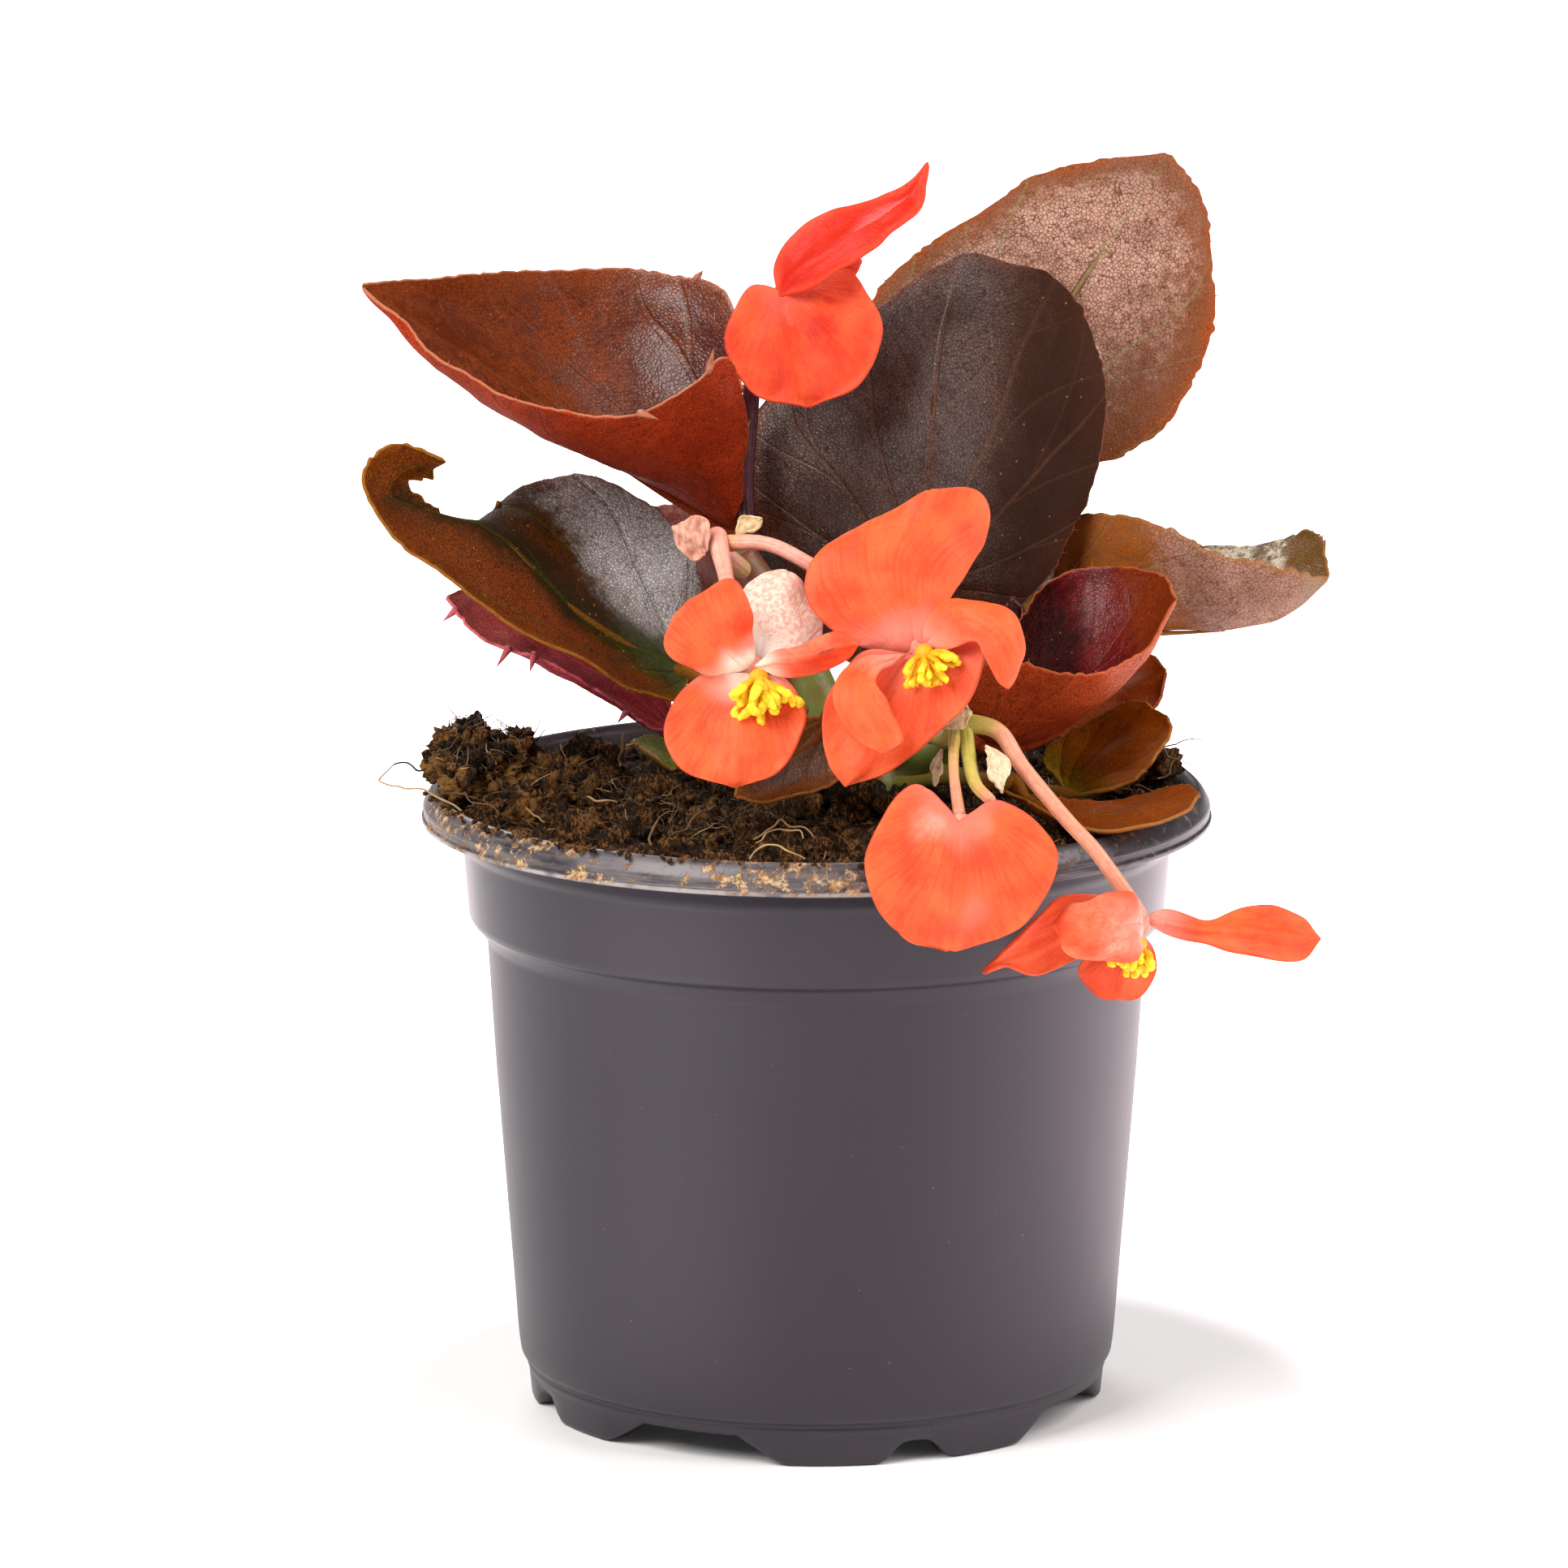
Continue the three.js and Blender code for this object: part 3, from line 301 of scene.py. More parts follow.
def rings_to_faces(rings, spokes):
    """Quads between rings of points that close round, with a cap at each end, all facing outward."""
    faces = []
    for ring in range(rings - 1):
        low, up = ring * spokes, (ring + 1) * spokes
        faces.extend((low + i, low + (i + 1) % spokes, up + (i + 1) % spokes, up + i) for i in range(spokes))
    return faces + [tuple(range(spokes))[::-1], tuple(range((rings - 1) * spokes, rings * spokes))]


def rounded(corners):
    """The corners of a section, with each one turned into a short curve."""
    line = [corners[0][:2]]
    for before, here, after in zip(corners, corners[1:], corners[2:]):
        corner = np.array(here[:2], float)
        ways = [np.array(end[:2], float) - corner for end in (before, after)]
        cuts = [corner + way * min(0.45, here[2] / np.linalg.norm(way)) for way in ways]
        for step in np.linspace(0, 1, CORNER_STEPS):
            line.append(tuple((1 - step) ** 2 * cuts[0] + 2 * step * (1 - step) * corner + step ** 2 * cuts[1]))
    return line + [corners[-1][:2]]


pot_degrees = np.arange(POT_SPOKES) * 360 / POT_SPOKES
edge_degrees = np.array([d for d, _ in FOOT_EDGE])
edge_heights = np.array([z for _, z in FOOT_EDGE], float)
foot_low = np.mean([
    np.interp((pot_degrees + shift + FOOT_START) % QUARTER - FOOT_START, edge_degrees, edge_heights)
    for shift in FOOT_ROUNDING
], axis=0)


def pot_ring(radius, heights):
    """A ring of points around the pot's axis, at one height or at one for each point."""
    angle = np.radians(pot_degrees)
    heights = np.broadcast_to(heights, angle.shape)
    return np.stack([radius * np.sin(angle), -radius * np.cos(angle), heights], axis=1)


pot_rings = [pot_ring(radius, height) for radius, height in PLATE_BELOW]
pot_rings += [pot_ring(radius, foot_low + height) for radius, height in FOOT_SECTION]
pot_rings += [pot_ring(radius, height) for radius, height in [*rounded(POT_SECTION)[1:], PLATE_ABOVE]]
pot_heap = Heap()
pot_heap.add(np.vstack(pot_rings), rings_to_faces(len(pot_rings), POT_SPOKES))


def cells(place, size, feature="F1"):
    """Small random cells about as wide as the size, as the distance to a middle or an edge."""
    sockets = {"Vector": place, "Scale": 1 / size}
    return place.node("ShaderNodeTexVoronoi", {"feature": feature}, sockets, "Distance")


def stretched(place, ways):
    """The place with each way scaled, so that what lies on it runs along the way scaled least."""
    return place.node("ShaderNodeVectorMath", {"operation": "MULTIPLY"}, {0: place, 1: ways})


def relief(height, strength, depth):
    """A surface relief whose depth is in millimetres."""
    return height.node("ShaderNodeBump", {}, {"Strength": strength, "Distance": depth * MM, "Height": height})


pot_finish, start = finish("satin_black_plastic")
place = spot(start)
along_x, along_y, height = (part_of(place, axis) for axis in "XYZ")
toward_front_left = along_x * -0.7 - along_y * 0.7
# Dried mud and lime lie on the lip, most at the front left, and a painted highlight runs along its lower edge.
lip_top = rise(height, 80.9, 82.2)
lip_edge = rise(height, 78.6, 79.3) * (1 - lip_top)
lip = lip_top + lip_edge
crust_side = rise(toward_front_left, 4.0, 34.0) * 0.75 + 0.25
patchy = rise(cloud(place, 13.0, 2.0), 0.4, 0.56)
crust = rise(cloud(place, 1.9, 10.0, 0.8) + patchy * 0.06 + crust_side * 0.035, 0.6, 0.64) * lip * crust_side
along_lip = stretched(place, (0.5, 0.5, 3.2))
haze = (rise(cloud(along_lip, 4.0, 8.0, 0.7), 0.36, 0.62) * 0.85 + 0.15) * lip * crust_side
# A thin pale line on the lip's lower edge, in patches, is a painted highlight.
painted_lip_highlight = rise(height, 78.8, 79.05) * (1 - rise(height, 79.3, 79.6)) * crust_side
painted_lip_highlight = painted_lip_highlight * rise(cloud(place, 6.0, 5.0), 0.35, 0.55)
crust_tone = cloud(place, 1.1, 6.0, 0.7)
dust = rise(0.05 - cells(place, 3.4), 0.0, 0.03) * rise(cloud(place, 15.0), 0.4, 0.66) * 0.4
mottle = cloud(place, 30.0, 4.0)
streaks = stretched(place, (1.0, 1.0, 0.1))
drawn = cloud(streaks, 4.0, 3.0)
plastic = coat(mottle * 0.6 + drawn * 0.4, "1b171e", "241f28")
plastic = coat(haze * 0.3, plastic, "a39a96")
plastic = coat(painted_lip_highlight * 0.4, plastic, "d8d0cc")
plastic = coat(crust, plastic, coat(rise(crust_tone, 0.4, 0.64), "85541f", "cfb084"))
plastic = coat(dust, plastic, "8c8784")
fine_grain = cloud(place, 0.35, 2.0)
rolled = rise(height, 62.0, 66.0)
surface(start, {
    "Base Color": plastic,
    "Roughness": 0.34 - rolled * 0.1 + mottle * 0.1 + drawn * 0.04 + crust * 0.5 + haze * 0.1,
    "Specular IOR Level": 0.55, "Specular Tint": (1.0, 0.93, 1.0, 1.0),
    "Normal": relief(fine_grain * 0.2 + drawn * 0.4 + crust * crust_tone * 4.0, strength=0.4, depth=0.12),
})
pot_heap.piece("pot_shell", "pot", pot_finish, "pot")

# The potting soil: dark peat pressed into the pot, crumbly on top, with a clod that lies over
# the lip at the left. Bits of root, straw and peat fibre stick out of it.
SOIL_LEVEL = 80.3
SOIL_RADIUS = 48.6
FRONT_RISE, FRONT_EDGE = 1.6, 48.4
# Each mound is x, y, height and spread. Each lump is x, y, z and radius; the first ones, at the
# left, catch the most crumbs and fibres, and the big ones among them have the finest surface.
SOIL_MOUNDS = [
    (-37, -6, 5, 13), (-22, -30, 1.6, 10), (46, 6, 4, 6), (-8, -40, 1, 9), (20, -40, 0.8, 8), (8, 0, 2, 14),
]
CLODS = [
    (-46.5, 1, 87, 4.6), (-49, -3, 86, 3.0), (-40.5, 1, 86.3, 4.2), (-42, -7, 85.5, 4.4), (-34, -8, 83.4, 4.6),
    (-46, -10, 84.6, 3.2), (-29, -15, 82.3, 4.6), (-37, -18, 82.6, 4.4), (-22, -22, 82, 4.2), (-12, -36, 82, 3.6),
    (0, -42, 82, 3.2), (-30, -30, 82, 3.6), (12, -30, 81.6, 3.4), (40, 2, 84, 3.6), (46, 3, 85, 2.6),
    (20, 30, 81, 4), (-12, 34, 81, 4), (-32, 20, 81.5, 4.4), (34, 22, 81.5, 4), (0, 44, 81, 3.4),
    (5, -13, 83.2, 4.2), (11, -16, 82.4, 3.6), (-2, -12, 83, 3.8), (-14, -26, 82.4, 3.4), (-7, -33, 82.2, 3.2),
    (-24, -33, 82.2, 2.8), (-4, -44.5, 82.4, 2.6), (-18, -41, 82, 2.8), (6, -36, 82, 3.2), (22, -38, 81.6, 3.2),
    (-33, -25, 82.4, 3.2), (-28, -7, 83.6, 4.0), (-21, -12, 83, 4.0), (30, -32, 81.6, 2.6),
]
LEFT_LUMPS = 10
BIG_LUMP = 3.9
FINE_BALL = 500
CRUMBS = 1150
MIDDLE_CRUMB, LARGEST_CRUMB = 1.3, 2.2
CRUMBS_ON_LIP = 170
LIP_INSIDE, LIP_OUTSIDE, LIP_TOP = 49.2, 52.2, 82.9
# The soil's side, pressed against the pot: radius and height. Its top is drawn in rings.
SOIL_SKIRT = [(36.4, 6), (42.8, 62), (45.6, 75), (48.2, 79.2)]
SOIL_SPOKES = 240
SOIL_RINGS = 92
draw = random.Random(7)


def ramp(value):
    """0 at 0 and less, 1 at 1 and more, and smooth in between."""
    value = min(1.0, max(0.0, value))
    return value * value * (3 - 2 * value)


def bumps(x, y, z, size):
    """A random swelling at a place, between -1 and 1, about as wide as the size."""
    return noise.noise(Vector((x, y, z)) / size)


def soil_height(x, y):
    """The height of the soil's rough top, which rises toward the front and sinks at the pot's wall."""
    reach = math.hypot(x, y)
    mounds = sum(h * math.exp(-((x - mx) ** 2 + (y - my) ** 2) / w ** 2) for mx, my, h, w in SOIL_MOUNDS)
    rim = ramp((SOIL_RADIUS - reach) / 3)
    rough = 1.7 * bumps(x, y, 0, 5.0) + 1.5 * bumps(x, y, 9, 2.3) + 0.8 * abs(bumps(x, y, 20, 1.0))
    level = SOIL_LEVEL + FRONT_RISE * ramp(-y / FRONT_EDGE)
    return level + mounds * (0.4 + 0.6 * rim) + rough * (0.3 + 0.7 * rim)


def ball_mesh(subdivisions):
    """Points and faces of a ball one in radius, finer with each subdivision."""
    shape = bmesh.new()
    bmesh.ops.create_icosphere(shape, subdivisions=subdivisions, radius=1.0)
    points = np.array([v.co[:] for v in shape.verts])
    faces = [tuple(v.index for v in f.verts) for f in shape.faces]
    shape.free()
    return points, faces


def lump(centre, radius, mesh, wild, squash=1.0):
    """A rough crumb of peat: a ball with a broken surface, turned at random. A ball of many points
    is broken finer."""
    points, faces = mesh
    seed = Vector((draw.uniform(0, 90), draw.uniform(0, 90), draw.uniform(0, 90)))
    turn = Vector((draw.uniform(-1, 1), draw.uniform(-1, 1), draw.uniform(-1, 1)))
    turn = turn.to_track_quat("Z", "Y").to_matrix()
    moved = []
    for p in points:
        p = Vector(p)
        swell = 1 + wild * (noise.noise(p * 1.3 + seed) + 0.7 * noise.noise(p * 3.1 + seed))
        if len(points) > FINE_BALL:
            swell += 0.26 * noise.noise(p * 8 + seed) + 0.16 * noise.noise(p * 17 + seed)
        q = turn @ Vector((p.x, p.y * 0.8, p.z * squash)) * (radius * swell)
        moved.append((centre[0] + q.x, centre[1] + q.y, centre[2] + q.z))
    return moved, faces


def soil_ring(radius):
    """The places of one ring around the pot's axis."""
    angles = [spoke * 2 * math.pi / SOIL_SPOKES for spoke in range(SOIL_SPOKES)]
    return [(radius * math.sin(angle), -radius * math.cos(angle)) for angle in angles]


def place_on_clod(least, most, height):
    """A random place on one of the lumps at the left, leaning this far from its top."""
    x, y, z, reach = CLODS[draw.randrange(LEFT_LUMPS)]
    lean, turn = draw.uniform(least, most), draw.uniform(0, 2 * math.pi)
    across = reach * math.sin(lean)
    return x + across * math.cos(turn), y + across * math.sin(turn), z + reach * math.cos(lean) * height


def place_on_soil(inset, height):
    """A random place on the soil's top, this far in from its edge and this high above it."""
    angle, reach = draw.uniform(0, 2 * math.pi), (SOIL_RADIUS - inset) * math.sqrt(draw.random())
    x, y = reach * math.sin(angle), -reach * math.cos(angle)
    return x, y, soil_height(x, y) + height


soil_heap = Heap()
shares = np.linspace(1, 0.004, SOIL_RINGS)
skirt = [(x, y, z) for radius, z in SOIL_SKIRT for x, y in soil_ring(radius)]
top_rings = [(x, y, soil_height(x, y)) for share in shares for x, y in soil_ring(SOIL_RADIUS * share)]
soil_heap.add(skirt + top_rings, rings_to_faces(len(SOIL_SKIRT) + len(shares), SOIL_SPOKES), shade=0.35)

big_ball, middle_ball, small_ball = ball_mesh(5), ball_mesh(3), ball_mesh(2)
for x, y, z, radius in CLODS:
    mesh = big_ball if radius > BIG_LUMP and x < -25 and y < 5 else ball_mesh(4)
    points, faces = lump((x, y, z), radius, mesh, wild=0.42)
    soil_heap.add(points, faces, shade=draw.uniform(0.2, 0.5) + (0.8 if x < -33 else 0.1))
crumb_heap = Heap()
for crumb in range(CRUMBS):
    centre = place_on_clod(0, 1.5, 0.9) if crumb % 4 == 0 else place_on_soil(0.6, 0.1)
    size = min(LARGEST_CRUMB, 0.45 * math.exp(draw.gauss(0.25, 0.45)))
    mesh = middle_ball if size > MIDDLE_CRUMB else small_ball
    points, faces = lump(centre, size, mesh, wild=0.6, squash=draw.uniform(0.55, 1))
    crumb_heap.add(points, faces, shade=min(1.0, max(0.0, draw.gauss(0.4, 0.22))))
for _ in range(CRUMBS_ON_LIP):
    angle = math.radians(draw.triangular(-100, 45, -45))
    reach = draw.uniform(LIP_INSIDE, LIP_OUTSIDE)
    centre = (reach * math.sin(angle), -reach * math.cos(angle), LIP_TOP + draw.uniform(-0.1, 0.3))
    points, faces = lump(centre, draw.uniform(0.18, 0.55), small_ball, wild=0.6, squash=0.6)
    crumb_heap.add(points, faces, shade=draw.uniform(0.5, 1))


def mark_on(start, name, output="Fac"):
    """A mark that the mesh carries on its points."""
    return start.node("ShaderNodeAttribute", {"attribute_name": name}, {}, output)


soil_finish, start = finish("moist_peat")
place = spot(start)
shade = mark_on(start, "shade")
threads = stretched(place, (1.0, 0.35, 0.5))
peat = coat(rise(cloud(place, 2.0, 8.0, 0.75) + shade * 0.4, 0.45, 0.9), "0a0502", "462810")
peat = coat(rise(cloud(threads, 0.35, 4.0, 0.75) + shade * 0.2, 0.54, 0.68) * 0.85, peat, "a8743c")
# Black patches are painted shade in the gaps between the crumbs.
peat = coat(rise(cloud(place, 3.0, 5.0, 0.65), 0.56, 0.44) * 0.8, peat, "050302")
peat = coat(rise(cloud(place, 5.0, 3.0), 0.58, 0.7) * 0.3, peat, "55502a")
grit = cloud(place, 0.5, 6.0, 0.8) + cloud(threads, 0.3, 3.0, 0.7) * 0.8
surface(start, {
    "Base Color": peat, "Roughness": 0.8, "Specular IOR Level": 0.15,
    "Normal": relief(grit, strength=1.0, depth=0.8),
})
soil_heap.piece("potting_soil", "soil", soil_finish, "soil")
crumb_heap.piece("soil_crumbs", "soil", soil_finish)

# Fine roots, straws and peat fibres: dry hair-thin strands, some pale, caught in the soil.
# The longest root loops out over the lip at the left, and three straws lie at the front.
# Each strand is its places, the radii along it, and how pale it is.
STRANDS = [
    ([(-47, -3, 86.5), (-50.2, -4, 86.7), (-52.1, -4.9, 85.9), (-54.3, -5.3, 86.8), (-56, -6, 86.3)],
     [0.2, 0.16, 0.12], 0.16),
    ([(-56, -6, 86.3), (-57.8, -6.7, 84.8), (-54.8, -9, 84.6), (-51.7, -10.9, 84.6),
      (-48.5, -13.8, 83.3), (-46, -17, 82.6)], [0.1, 0.14, 0.19], 0.7),
    ([(-50, -10, 84.6), (-47.3, -13.8, 84.5), (-44.1, -18.3, 83.9), (-41, -20, 83.4)], [0.07, 0.09, 0.07], 0.41),
    ([(-8.5, -47, 82.6), (-6.5, -47, 83.9), (-4.5, -46.7, 84.2), (-3.2, -47, 83.9), (-1.6, -47.6, 82.6)],
     [0.12, 0.14, 0.1], 0.78),
    ([(-8.2, -41, 84.2), (-5.7, -39.8, 85.3), (-3.7, -38.7, 86.2), (-1.1, -40.1, 85),
      (0.5, -43.1, 83.5), (1.2, -45, 82.6)], [0.14, 0.13, 0.09], 0.66),
    ([(-8, -41.4, 84), (-5.3, -39.7, 85.1), (-2.3, -40.2, 84.9), (-1.6, -42, 84)], [0.12, 0.14, 0.09], 0.74),
    ([(-13.5, -30, 86), (-14.9, -33.2, 85.9), (-16.2, -35.7, 85), (-18.5, -38, 84)], [0.16, 0.22, 0.14], 0.33),
    ([(-25.5, -6, 91), (-25.9, -6.2, 89.2), (-26, -6, 86)], [0.14, 0.22, 0.22], 0.37),
    ([(-30, -22, 85.4), (-27.9, -23.6, 85.7), (-26, -24, 85)], [0.14, 0.18, 0.11], 0.7),
    ([(-38, -25, 84.6), (-36.2, -26.3, 84.5), (-35, -28, 83.8)], [0.12, 0.14, 0.1], 0.66),
    ([(-20, -38, 83.5), (-18.3, -40.1, 84), (-16.4, -41, 83)], [0.17, 0.16, 0.1], 0.61),
    ([(-21.6, -41, 83), (-20.9, -38.8, 84.9), (-20.2, -38, 85.6)], [0.19, 0.17, 0.1], 0.49),
    ([(44, 2, 85.5), (46.7, 2.1, 87.3), (49.2, 1.9, 88.5), (51.4, 2, 88.2)], [0.14, 0.09, 0.05], 0.25),
    ([(38, -12, 84.6), (42.3, -8, 87.3), (44.9, -5.3, 88.7), (47.1, -4.2, 87.5), (50.4, -3, 86.2)],
     [0.12, 0.1, 0.04], 0.41),
    ([(45, -6, 85), (47.1, -4.2, 86.3), (48.5, -1, 87.3)], [0.12, 0.09, 0.04], 0.33),
]
FIBRES = 2500
FIBRE_JOINTS = 3
FIBRE_REACH = 49


def along(points, shares):
    """Places on a smooth curve through evenly timed points, at shares of its way."""
    points = np.asarray(points, float)
    shares = np.clip(np.asarray(shares, float), 0, 1)
    span = len(points) - 1
    step = np.minimum(np.floor(shares * span).astype(int), span - 1)
    w = (shares * span - step)[:, None]
    ends = np.vstack([2 * points[0] - points[1], points, 2 * points[-1] - points[-2]])
    a, b, c, d = (ends[step + k] for k in range(4))
    return 0.5 * (2 * b + (c - a) * w + (2 * a - 5 * b + 4 * c - d) * w ** 2 + (3 * b - a - 3 * c + d) * w ** 3)


def unit(ways):
    """The ways, each made one long."""
    return ways / np.maximum(np.linalg.norm(ways, axis=-1, keepdims=True), 1e-9)


def tube(route, radii, steps, sides):
    """A round tube along a smooth curve, with its two ends closed, and its way as a mark."""
    shares = np.linspace(0, 1, steps + 1)
    centre = along(route, shares)
    ahead = unit(np.gradient(centre, axis=0))
    radius = np.interp(shares, np.linspace(0, 1, len(radii)), radii)
    sideways = unit(np.cross(ahead[0], (0.13, 0.31, 0.94) if abs(ahead[0][2]) < 0.9 else (1, 0.1, 0)))
    rings = []
    for step in range(steps + 1):
        sideways = unit(sideways - ahead[step] * np.dot(sideways, ahead[step]))
        other = np.cross(ahead[step], sideways)
        angle = np.arange(sides) * 2 * np.pi / sides
        spokes = np.outer(np.cos(angle), sideways) + np.outer(np.sin(angle), other)
        rings.append(centre[step] + radius[step] * spokes)
    return np.vstack(rings), rings_to_faces(steps + 1, sides), np.repeat(shares, sides)


fibre_heap = Heap()
for route, radii, pale in STRANDS:
    way = along(route, np.linspace(0, 1, 14))
    way += np.array([[bumps(*(p + k), 2.2) for k in (0, 30, 60)] for p in way]) * 0.9
    points, faces, _ = tube(way, radii, steps=40, sides=6)
    fibre_heap.add(points, faces, shade=pale)
for fibre in range(FIBRES):
    x, y, z = place_on_clod(0.2, 1.6, 1.0) if fibre % 3 == 0 else place_on_soil(1, 0.3)
    heading, length = draw.uniform(0, 2 * math.pi), draw.uniform(1.0, 4.6)
    way = Vector((math.cos(heading), math.sin(heading), draw.uniform(-0.15, 0.6)))
    route = [(x, y, z - 0.3)]
    for _ in range(FIBRE_JOINTS):
        way = (way + Vector((draw.gauss(0, 0.45), draw.gauss(0, 0.45), draw.gauss(-0.05, 0.35)))).normalized()
        last = Vector(route[-1]) + way * length / FIBRE_JOINTS
        if math.hypot(last.x, last.y) > FIBRE_REACH:
            last.x, last.y = last.x * 0.96, last.y * 0.96
        route.append(tuple(last))
    points, faces, _ = tube(route, [draw.uniform(0.05, 0.13), 0.04], steps=6, sides=3)
    fibre_heap.add(points, faces, shade=min(1.0, max(0.0, draw.gauss(0.28, 0.25))))

fibre_finish, start = finish("dry_fibre")
shade = mark_on(start, "shade")
place = spot(start)
straw = coat(rise(shade + cloud(place, 1.5) * 0.3, 0.25, 0.7), "2a170c", "7c5a34")
straw = coat(rise(shade, 0.55, 1.0), straw, "e2c08c")
surface(start, {
    "Base Color": straw, "Roughness": 0.6, "Normal": relief(cloud(place, 0.3), strength=0.4, depth=0.1),
})
fibre_heap.piece("roots_and_fibres", "soil", fibre_finish)

# The stems: four fleshy green shoots from one root crown, flushed red, with a slightly uneven
# skin. Every petiole and flower stalk grows from one of them.
CROWN, CROWN_RADIUS = (7.5, 0.5, 82), 4.9
# Each stem is its places from the crown up, and the radii along it.
STEMS = [
    ([(8, 1, 60), (8, 1, 72), (7, 0.5, 84)], [4, 4, 4]),
    ([(6, 0, 80), (2.5, 0, 89), (-1.5, 1, 98), (-6.5, 2, 107), (-10.5, 2, 113.5)], [3.1, 3, 3.1, 2.9, 2.6]),
    ([(9, 1, 80), (10, 3, 90), (13, 5, 98), (16, 7, 105), (19, 12, 112)], [3.1, 3, 3.1, 2.9, 2.6]),
    ([(9, 1, 80), (14, -0.5, 86.5), (20, -2, 91.5), (25, -2, 95)], [2.8, 2.6, 2.6, 2.2]),
]
stem_heap = Heap()
for route, radii in STEMS:
    points, faces, way = tube(route, radii, steps=48, sides=28)
    stem_heap.add(points, faces, way=way)
points, faces = ball_mesh(4)
stem_heap.add(points * CROWN_RADIUS + np.array(CROWN), faces, way=0.3)


def juicy(weight, tint, depth):
    """Light that soaks into soft plant tissue, to a depth in millimetres."""
    return {"Subsurface Weight": weight, "Subsurface Radius": tint, "Subsurface Scale": depth * MM}


stem_finish, start = finish("fleshy_green_stem")
place = spot(start)
flush = rise(cloud(place, 5.0, 4.0) + mark_on(start, "way") * 0.2, 0.42, 0.75)
surface(start, {
    "Base Color": coat(flush, "6f7d34", "7a4030"), "Roughness": 0.4, **juicy(0.15, (1.0, 0.6, 0.2), 1.5),
    "Normal": relief(cloud(place, 1.2, 3.0), strength=0.4, depth=0.3),
})
stem_heap.piece("main_stems", "stem", stem_finish, "stems")

# The leaves at the left: waxy bronze blades with a fine toothed margin, palmate veins that start
# where the petiole ends, and a petiole down to a stem. The upper one is folded like a trough.
LEAF_THICKNESS = 0.45
# Shares: where a blade's last row of points lies along it, and its extra columns across it.
LAST_ROW = 0.992
NEAR_RIM = 0.985
RIM_THINNING, END_THINNING = 0.35, 0.5
RIB_STEPS = 200
TOOTH_SPACING = 3.3
NIBBLE_DEPTH = 0.6
# How wide each random form of a leaf is, and how strong: the veins' wander, the margin's wave, and
# the puckers between the veins.
WANDER_SIZE, WANDER = 13, 0.035
WAVE_SIZE, WAVE_HEIGHT = 9, 2.4
PUCKER_SIZE, PUCKER_HEIGHT = 4.2, 0.264
VEIN_DEPTH = 0.34
BRISTLE_LENGTHS = (0.4, 1.1)
BRISTLE_RADII = [0.08, 0.07, 0.02]
SPIKE_RADII = [0.35, 0.6, 0.3, 0.02]
LEAF_GRAIN = 0.52
# Rows and columns of points in a leaf of each size, and the radius of its petiole.
SIZES = {"large": (150, 46, 1.35), "middle": (92, 34, 1.0), "small": (50, 24, 1.0)}
# The ridge under a leaf, in which the petiole runs out: share of the midrib, and how far it stands out.
RIDGE = [(0.62, 0.3), (0.45, 0.45), (0.3, 0.7), (0.16, 0.95), (0.06, 1.15)]
# Main veins: angle from the midrib, where it starts, how fast it bends away, and width.
VEINS = [
    (0.0, 0.0, 0.0, 1.0), (0.42, 0.0, 0.0, 0.8), (0.88, 0.0, 0.0, 0.75), (1.4, 0.0, 0.0, 0.65),
    (2.0, 0.0, 0.0, 0.5), (0.0, 0.4, 0.7, 0.45), (0.0, 0.62, 0.8, 0.4), (0.42, 0.36, 0.5, 0.45),
    (0.42, 0.5, -0.45, 0.4), (0.88, 0.32, 0.5, 0.4), (0.88, 0.45, -0.4, 0.35), (1.4, 0.3, 0.5, 0.35),
    (1.4, 0.4, -0.5, 0.3),
]


def grid_normals(sheet):
    """The way that each point of a grid faces."""
    return unit(np.cross(np.gradient(sheet, axis=1), np.gradient(sheet, axis=0)))


def run_along(points):
    """How far along a line of points each one is."""
    return np.concatenate([[0], np.cumsum(np.linalg.norm(np.diff(points, axis=0), axis=1))])


def sheet_of(plan, rows, columns, begin):
    """The middle sheet of a blade as a grid of points, from its base to its tip and from its left
    margin to its right one. With it come the shares along and across, how far each point lies
    from the base along and across the flattened blade, and how far it is from the margin."""
    left, rib, right = [
        np.array([plan["base"], *plan[line], plan["tip"]], float) for line in ("left", "rib", "right")
    ]
    x = np.linspace(-1, 1, columns)
    t = 1.2 * x - 0.2 * x ** 3
    t = np.sort(np.concatenate([t, [-NEAR_RIM, NEAR_RIM]]))
    s = np.linspace(begin, LAST_ROW, rows)
    middle, left, right = along(rib, s), along(left, s), along(right, s)
    ahead = unit(along(rib, s + 0.02) - along(rib, s - 0.02))[:, None, :]
    across = np.where((t < 0)[None, :, None], (left - middle)[:, None, :], (right - middle)[:, None, :])
    up = unit(np.where((t < 0)[None, :, None], np.cross(ahead, across), np.cross(across, ahead)))
    reach = np.abs(t)[None, :, None]
    cup = np.where(t < 0, plan["cup"][0], plan["cup"][1])[None, :, None]
    fade = np.sin(np.minimum(1, s / 0.22) * np.pi / 2) * np.sin(np.minimum(1, (1 - s) / 0.5) * np.pi / 2)
    sheet = middle[:, None, :] + across * reach - up * (fade[:, None, None] * cup * 4 * reach * (1 - reach))
    steps = np.linspace(0, 1, RIB_STEPS)
    run = run_along(along(rib, steps))
    forward = np.sum(across * ahead, axis=2)
    aside = np.linalg.norm(across - forward[..., None] * ahead, axis=2) * np.sign(t)[None, :]
    flat_u = np.interp(s, steps, run)[:, None] + forward * reach[..., 0]
    flat_v = aside * reach[..., 0]
    rim = (1 - reach[..., 0]) * np.linalg.norm(across, axis=2)
    return sheet, s, t, flat_u / run[-1], flat_v / run[-1], rim


